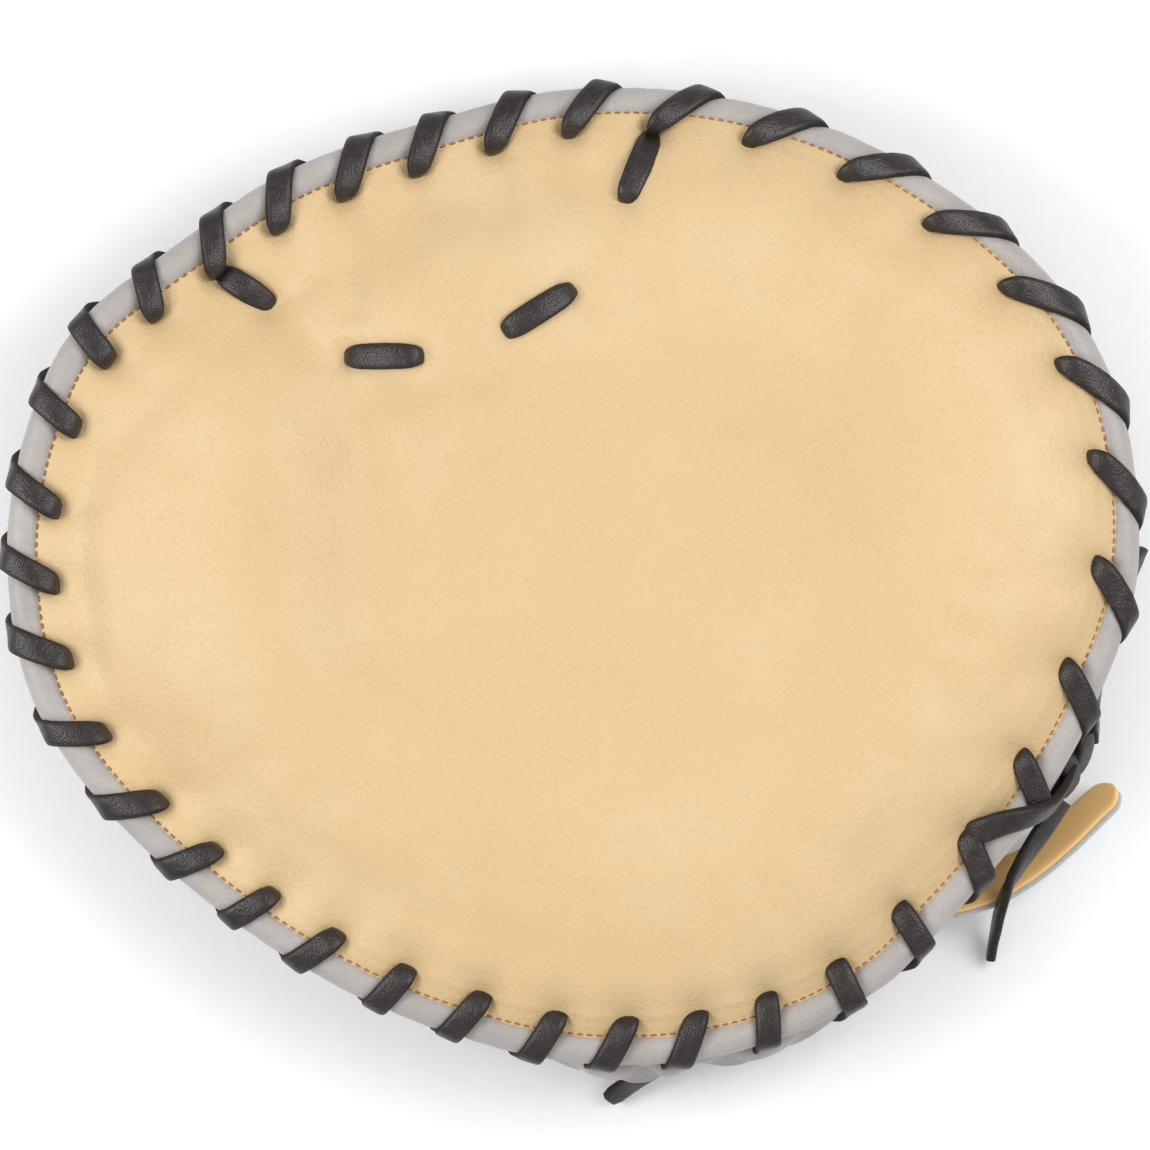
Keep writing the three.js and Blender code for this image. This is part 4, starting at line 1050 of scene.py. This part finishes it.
crossing_rows = table(
    "x y z off_x off_y off_z wide",
    (84.6, -54.7, 27.5, -0.8, -0.1, 0.2, 0.6), (84.8, -54.6, 31, -0.8, -0.1, 0.4, 0.75),
    (86.2, -54.3, 33.7, -0.4, -0.15, 0.9, 0.92), (88.8, -53.5, 34.9, 0, -0.25, 0.95, 1),
    (92, -52.4, 35.2, 0.1, -0.35, 0.9, 1), (95.6, -51.5, 35, 0.2, -0.5, 0.8, 1),
    (99.2, -50.6, 33.6, 0.4, -0.65, 0.6, 1), (102.4, -49.2, 30.6, 0.7, -0.65, 0.3, 1),
    (104.7, -46.8, 27.6, 0.85, -0.52, 0.1, 1), (106.4, -43.9, 25.2, 0.87, -0.48, 0, 1),
    (107.6, -41, 23.4, 0.87, -0.45, 0, 0.95),
)
rim_knot_rows = table("along slant shift reach wide", (0, 4, 0, 1.28, 1.05), (-1.5, 52, 1.1, 0.85, 0.95),
                      (0.5, -48, -0.9, 0.85, 0.95), (3.8, 24, 1, 0.72, 0.95), (-4, -20, 0.8, 0.7, 0.9))
heel_knot_rows = table("along slant shift reach wide", (0, 8, 0, 1, 0.86), (0, 58, 1, 0.73, 0.86),
                       (0, -52, -1, 0.73, 0.86))


def make_crossing_lace():
    stations = [[row["x"], row["y"], row["z"], row["off_x"], row["off_y"], row["off_z"],
                 row["wide"] * LACE_WIDTH] for row in crossing_rows]
    return make_laces("crossing_lace_strip", [lace_strip(through(stations, SHORT_LACE_STEPS))],
                      ["crossing_lace"])


def make_knot(name, rows, centre, lengthwise, off, replaces):
    lengthwise, off = unit(lengthwise), unit(off)
    across = unit(np.cross(off, lengthwise))
    strips = []
    for row in rows:
        angle = math.radians(row["slant"])
        run = lengthwise * math.cos(angle) + across * math.sin(angle)
        at = np.linspace(-1, 1, KNOT_RINGS)
        rise = row["shift"] * KNOT_STAGGER * (1 - 0.7 * at**2) + 0.25 * np.sin(3 * at + row["slant"])
        bow = 0.5 * np.sin(2.2 * at + row["slant"])
        side = np.cross(off, run)
        places = centre + lengthwise * row["along"] + run * (at * row["reach"] * KNOT_LENGTH / 2)[:, None]
        places = places + off * rise[:, None] + side * bow[:, None]
        width = LACE_WIDTH * row["wide"] * (1 - 0.14 * at**4)
        strips.append(strip(places, np.broadcast_to(off, places.shape), width, np.full(KNOT_RINGS, LACE_THICKNESS)))
    return make_laces(name, strips, replaces)


make_crossing_lace()
rim_knot_place = rim_place(RIM_KNOT_TURN, -LACE_THICKNESS / 2 - LACE_LAYER / 2, -3.8)
heel_knot_place = rim_place(HEEL_KNOT_TURN, ROLL_WIDTH / 2, -7.9 - LACE_LAYER - KNOT_STAGGER)
make_knot("rim_knot_strips", rim_knot_rows, rim_knot_place, rim_along(np.float64(RIM_KNOT_TURN)),
          rim_direction(np.float64(RIM_KNOT_TURN), -1, 0.9), ["rim_knot"])
make_knot("heel_knot_strips", heel_knot_rows, heel_knot_place, rim_along(np.float64(HEEL_KNOT_TURN)),
          np.array([0.0, 0, -1]), ["heel_knot"])

# %% [markdown]
# Three lace ends hang free. Two of them are soft cords: the long one drops from the knot over the wrist
# strap, the other runs up along the rim. The frame's table notes their length, width and stiffness. The
# third is the short end below the heel.

# %% Free ends of lace
TAIL_WIDTH = 5

long_tail_points = [(105.9, -47.8, 19.6), (102.8, -52.8, 19.8), (99.5, -57.6, 19.9), (96.6, -62.2, 19.4),
                    (94.2, -67, 17.8), (92.8, -72.2, 13), (92, -77.4, 7), (91.4, -82.6, 2.4)]
rim_tail_points = [(112.7, -34.2, 19), (113, -31.4, 16.8), (113.2, -27, 14.8), (114.2, -20.6, 14.2),
                   (115.8, -13.4, 14.2), (117.8, -6.6, 14.8), (120.2, -0.4, 17), (123, 6.6, 20.4)]
heel_tail_points = heel_knot_place + np.array([(-6.4, -3.1, -1.7), (-10.4, -5.7, -3.9), (-15.4, -9.1, -7.9),
                                               (-19.2, -11.9, -11.3), (-22.6, -14.5, -13.1)])


def make_tail(name, points, off_first, off_last, replaces):
    """A free end of lace."""
    line = through(points, 8)
    share = np.linspace(0, 1, len(line))[:, None]
    off = unit(mix(np.asarray(off_first, float), np.asarray(off_last, float), share))
    width = TAIL_WIDTH * (1 - 0.25 * ease(share[:, 0], 0.9, 1))
    tail = make_laces(name, [strip(line, off, width, np.full(len(line), LACE_THICKNESS))], replaces)


make_tail("long_lace_tail", long_tail_points, (0.75, 0.5, 0.42), (0.92, 0.2, 0.3), ["long_tail"])
make_tail("rim_lace_tail", rim_tail_points, (1, 0.1, 0.1), (0.8, -0.3, 0.5), ["rim_tail"])
make_tail("heel_lace_tail", heel_tail_points, (0.25, -0.45, 0.85), (0.35, -0.55, 0.75), ["heel_tail"])

# %% [markdown]
# The wrist strap is two layers: tan steerhide outside and a pale split-suede lining inside. It crosses
# the back, comes out from under the glove at the lower right and turns up on its edge. Split suede is
# the fuzzy middle of the hide: no grain, no gloss, only a nap that takes the light evenly.

# %% Strap and its materials
STRAP_WIDTH = 20
STRAP_FACE, STRAP_LINING = 1.6, 1.1
STRAP_RINGS, STRAP_SIDES = 90, 28

strap_rows = table(
    "x y up wide tilt",
    (-0.07, -0.64, 0.164, 0.62, 22), (0, -0.66, 0.184, 0.76, 22), (0.1, -0.685, 0.196, 0.9, 22),
    (0.24, -0.67, 0.215, 1, 24), (0.4, -0.64, 0.25, 1, 30), (0.54, -0.63, 0.28, 0.94, 36),
    (0.65, -0.632, 0.29, 0.8, 36), (0.735, -0.624, 0.3, 0.62, 42), (0.805, -0.592, 0.305, 0.48, 46),
    (0.872, -0.532, 0.31, 0.45, 47), (0.93, -0.468, 0.32, 0.44, 48), (0.97, -0.43, 0.325, 0.4, 48),
)


def make_strap_leather():
    material, tree, output, places = new_material("tan_strap_steerhide_with_painted_light")
    clouds = add(tree, "ShaderNodeTexNoise", {"Vector": places, "Scale": 45, "Detail": 4, "Roughness": 0.6})
    # Partly painted light: the strap's own tan, set lighter than tan leather is, to make up for the shade that the
    # glove casts on it.
    tan = set_colours(add(tree, "ShaderNodeValToRGB", {"Fac": clouds.outputs["Fac"]}),
                      (0.35, "#f2bf78"), (0.7, "#f8cb8a"))
    pebbles = leather_grain(tree, places, PALM_PEBBLE)
    bump = add(tree, "ShaderNodeBump", {"Height": pebbles, "Strength": 0.35, "Distance": 0.1 * MM},
               invert=True)
    return finish_material(material, output, {
        "Base Color": tan.outputs["Color"], "Roughness": 0.5, "IOR": 1.5,
        "Normal": bump.outputs["Normal"]})


def make_suede():
    material, tree, output, places = new_material("split_suede_lining")
    nap = add(tree, "ShaderNodeTexNoise", {"Vector": places, "Scale": 1500, "Detail": 4, "Roughness": 0.7})
    grey = set_colours(add(tree, "ShaderNodeValToRGB", {"Fac": nap.outputs["Fac"]}),
                       (0.3, "#b2b5b2"), (0.7, "#c9ccc9"))
    bump = add(tree, "ShaderNodeBump", {"Height": nap.outputs["Fac"], "Strength": 0.6, "Distance": 0.15 * MM})
    return finish_material(material, output, {
        "Base Color": grey.outputs["Color"], "Roughness": 0.95, "IOR": 1.45, "Sheen Weight": 0.3,
        "Sheen Roughness": 0.6, "Normal": bump.outputs["Normal"]})


strap_leather = make_strap_leather()
suede = make_suede()
print("made", strap_leather.name, "and", suede.name)


def strap_line():
    """Places, directions off the face and widths along the strap."""
    rows = [[r["x"] * RIM_WIDTH / 2, r["y"] * RIM_LENGTH / 2, r["up"] * SEAM_HEIGHT, r["wide"] * STRAP_WIDTH,
             math.radians(r["tilt"])] for r in strap_rows]
    line = through(rows, STRAP_RINGS // (len(rows) - 1))
    places, width, tilt = line[:, :3], line[:, 3], line[:, 4]
    run = np.gradient(places, axis=0) * [1, 1, 0]
    run = unit(run)
    left = np.stack([-run[:, 1], run[:, 0], 0 * tilt], -1)
    off = np.stack([0 * tilt, 0 * tilt, np.cos(tilt)], -1) + left * np.sin(tilt)[:, None]
    tip = np.clip((len(places) - 1 - np.arange(len(places))) / 5, 0, 1)
    width = width * np.sqrt(np.clip(1 - (1 - tip) ** 2, 0.06, 1))
    return places, off, width


def make_strap(name, thickness, offset, widen, material, replaces):
    places, off, width = strap_line()
    rings, _ = strip(places + off * offset, off, width + widen, np.full(len(places), thickness), STRAP_SIDES)
    return make_piece(name, rings, strip_faces(*rings.shape[:2]), material, replaces)


make_strap("strap_face_leather", STRAP_FACE, 0.7, 0, strap_leather, ["strap_face"])
make_strap("strap_suede_lining", STRAP_LINING, -0.65, 0.9, suede, ["strap_backing"])

# %% [markdown]
# A row of machine stitches holds the palm to the roll, close beside it. Each stitch is a short thread
# with rounded ends, half sunk in the leather, 2.1 mm from the next. The thread is waxed polyester,
# orange brown, so it is a little darker and redder than the hide.

# %% Stitching
STITCH_PITCH, STITCH_LENGTH, THREAD = 2.1, 1.5, 0.42
STITCH_INSET = 6.5


def make_thread():
    material, tree, output, places = new_material("waxed_polyester_thread")
    twist = add(tree, "ShaderNodeTexNoise", {"Vector": places, "Scale": 3000, "Detail": 2, "Roughness": 0.6})
    brown = set_colours(add(tree, "ShaderNodeValToRGB", {"Fac": twist.outputs["Fac"]}),
                        (0.35, "#8d5a2a"), (0.7, "#ab773f"))
    return finish_material(material, output, {
        "Base Color": brown.outputs["Color"], "Roughness": 0.5, "IOR": 1.5})


thread = make_thread()
print("made", thread.name)


def make_stitching():
    count = round(rim_length / STITCH_PITCH)
    steps = np.linalg.norm(np.diff(rim_place(ring_turns, 0, 0), axis=0), axis=1)
    turns = np.interp(np.arange(count) / count * rim_length, np.append(0, np.cumsum(steps)), ring_turns)
    height = ROLL_CENTRE + PALM_EDGE_THICKNESS / 2
    middle = rim_place(turns, STITCH_INSET, height + 0.1)
    middle[:, 2] += leather_height(turns, np.full(count, STITCH_INSET), middle)
    along, up = rim_along(turns), rim_direction(turns, 0 * turns, 0 * turns + 1)
    side = np.cross(up, along)
    at = np.array([-1, -0.8, -0.4, 0.4, 0.8, 1])
    radius = np.array([0.15, 0.75, 1, 1, 0.75, 0.15]) * THREAD / 2
    sink = np.array([0.25, 0.1, 0, 0, 0.1, 0.25])
    angle = np.linspace(0, 2 * math.pi, 6, endpoint=False)
    centre = middle[:, None] + along[:, None] * (at * STITCH_LENGTH / 2)[None, :, None]
    centre = centre - up[:, None] * sink[None, :, None]
    ring = (side[:, None, None] * (radius[:, None] * np.cos(angle))[None, :, :, None]
            + up[:, None, None] * (radius[:, None] * np.sin(angle))[None, :, :, None])
    points = centre[:, :, None] + ring
    one = np.array(grid_faces(len(at), len(angle), close_columns=True))
    faces = (one[None] + (np.arange(count) * len(at) * len(angle))[:, None, None]).reshape(-1, 4)
    return make_piece("edge_stitching", points, faces[:, ::-1], thread)


make_stitching()

# %% [markdown]
# The floor is a white sheet that reaches far past every picture's edge. Soft light comes from a bright
# even surround, as in a photographer's light tent, and two large lamps, one on each side, give the
# leather its weak shine and the laces their satin edges.

# %% Floor and light
FLOOR_HALF = 4000
TENT_STRENGTH = 0.7
KEY_PLACE, KEY_SIZE, KEY_POWER = (-560, -20, 560), 380, 2.6
FILL_PLACE, FILL_SIZE, FILL_POWER = (420, 130, 600), 400, 2.4


def make_paper():
    material, tree, output, places = new_material("white_paper")
    tooth = add(tree, "ShaderNodeTexNoise", {"Vector": places, "Scale": 300, "Detail": 2})
    white = set_colours(add(tree, "ShaderNodeValToRGB", {"Fac": tooth.outputs["Fac"]}),
                        (0.3, "#fbfbfb"), (0.7, "#fdfdfd"))
    return finish_material(material, output, {
        "Base Color": white.outputs["Color"], "Roughness": 0.9, "IOR": 1.45})


paper = make_paper()
corners = [(-FLOOR_HALF, -FLOOR_HALF, 0), (FLOOR_HALF, -FLOOR_HALF, 0), (FLOOR_HALF, FLOOR_HALF, 0),
           (-FLOOR_HALF, FLOOR_HALF, 0)]
floor = bpy.data.objects.new("floor", make_mesh("floor", corners, [[0, 1, 2, 3]]))
bpy.context.scene.collection.objects.link(floor)
floor.data.materials.append(paper)


def area_light(name, place, size, power):
    light = bpy.data.lights.new(name, "AREA")
    light.size = size * MM
    light.energy = power
    lamp = bpy.data.objects.new(name, light)
    lamp.location = Vector(place) * MM
    lamp.rotation_euler = (Vector((0, 0, 0)) - lamp.location).to_track_quat("-Z", "Y").to_euler()
    bpy.context.scene.collection.objects.link(lamp)
    print(name + ":", power, "W,", size, "mm square")


area_light("key_light", KEY_PLACE, KEY_SIZE, KEY_POWER)
area_light("fill_light", FILL_PLACE, FILL_SIZE, FILL_POWER)
world = bpy.data.worlds.new("light_tent")
world.use_nodes = True
world.node_tree.nodes["Background"].inputs["Color"].default_value = colour("#f4f6fa")
world.node_tree.nodes["Background"].inputs["Strength"].default_value = TENT_STRENGTH
bpy.context.scene.world = world
bpy.context.scene.view_settings.view_transform = "Standard"
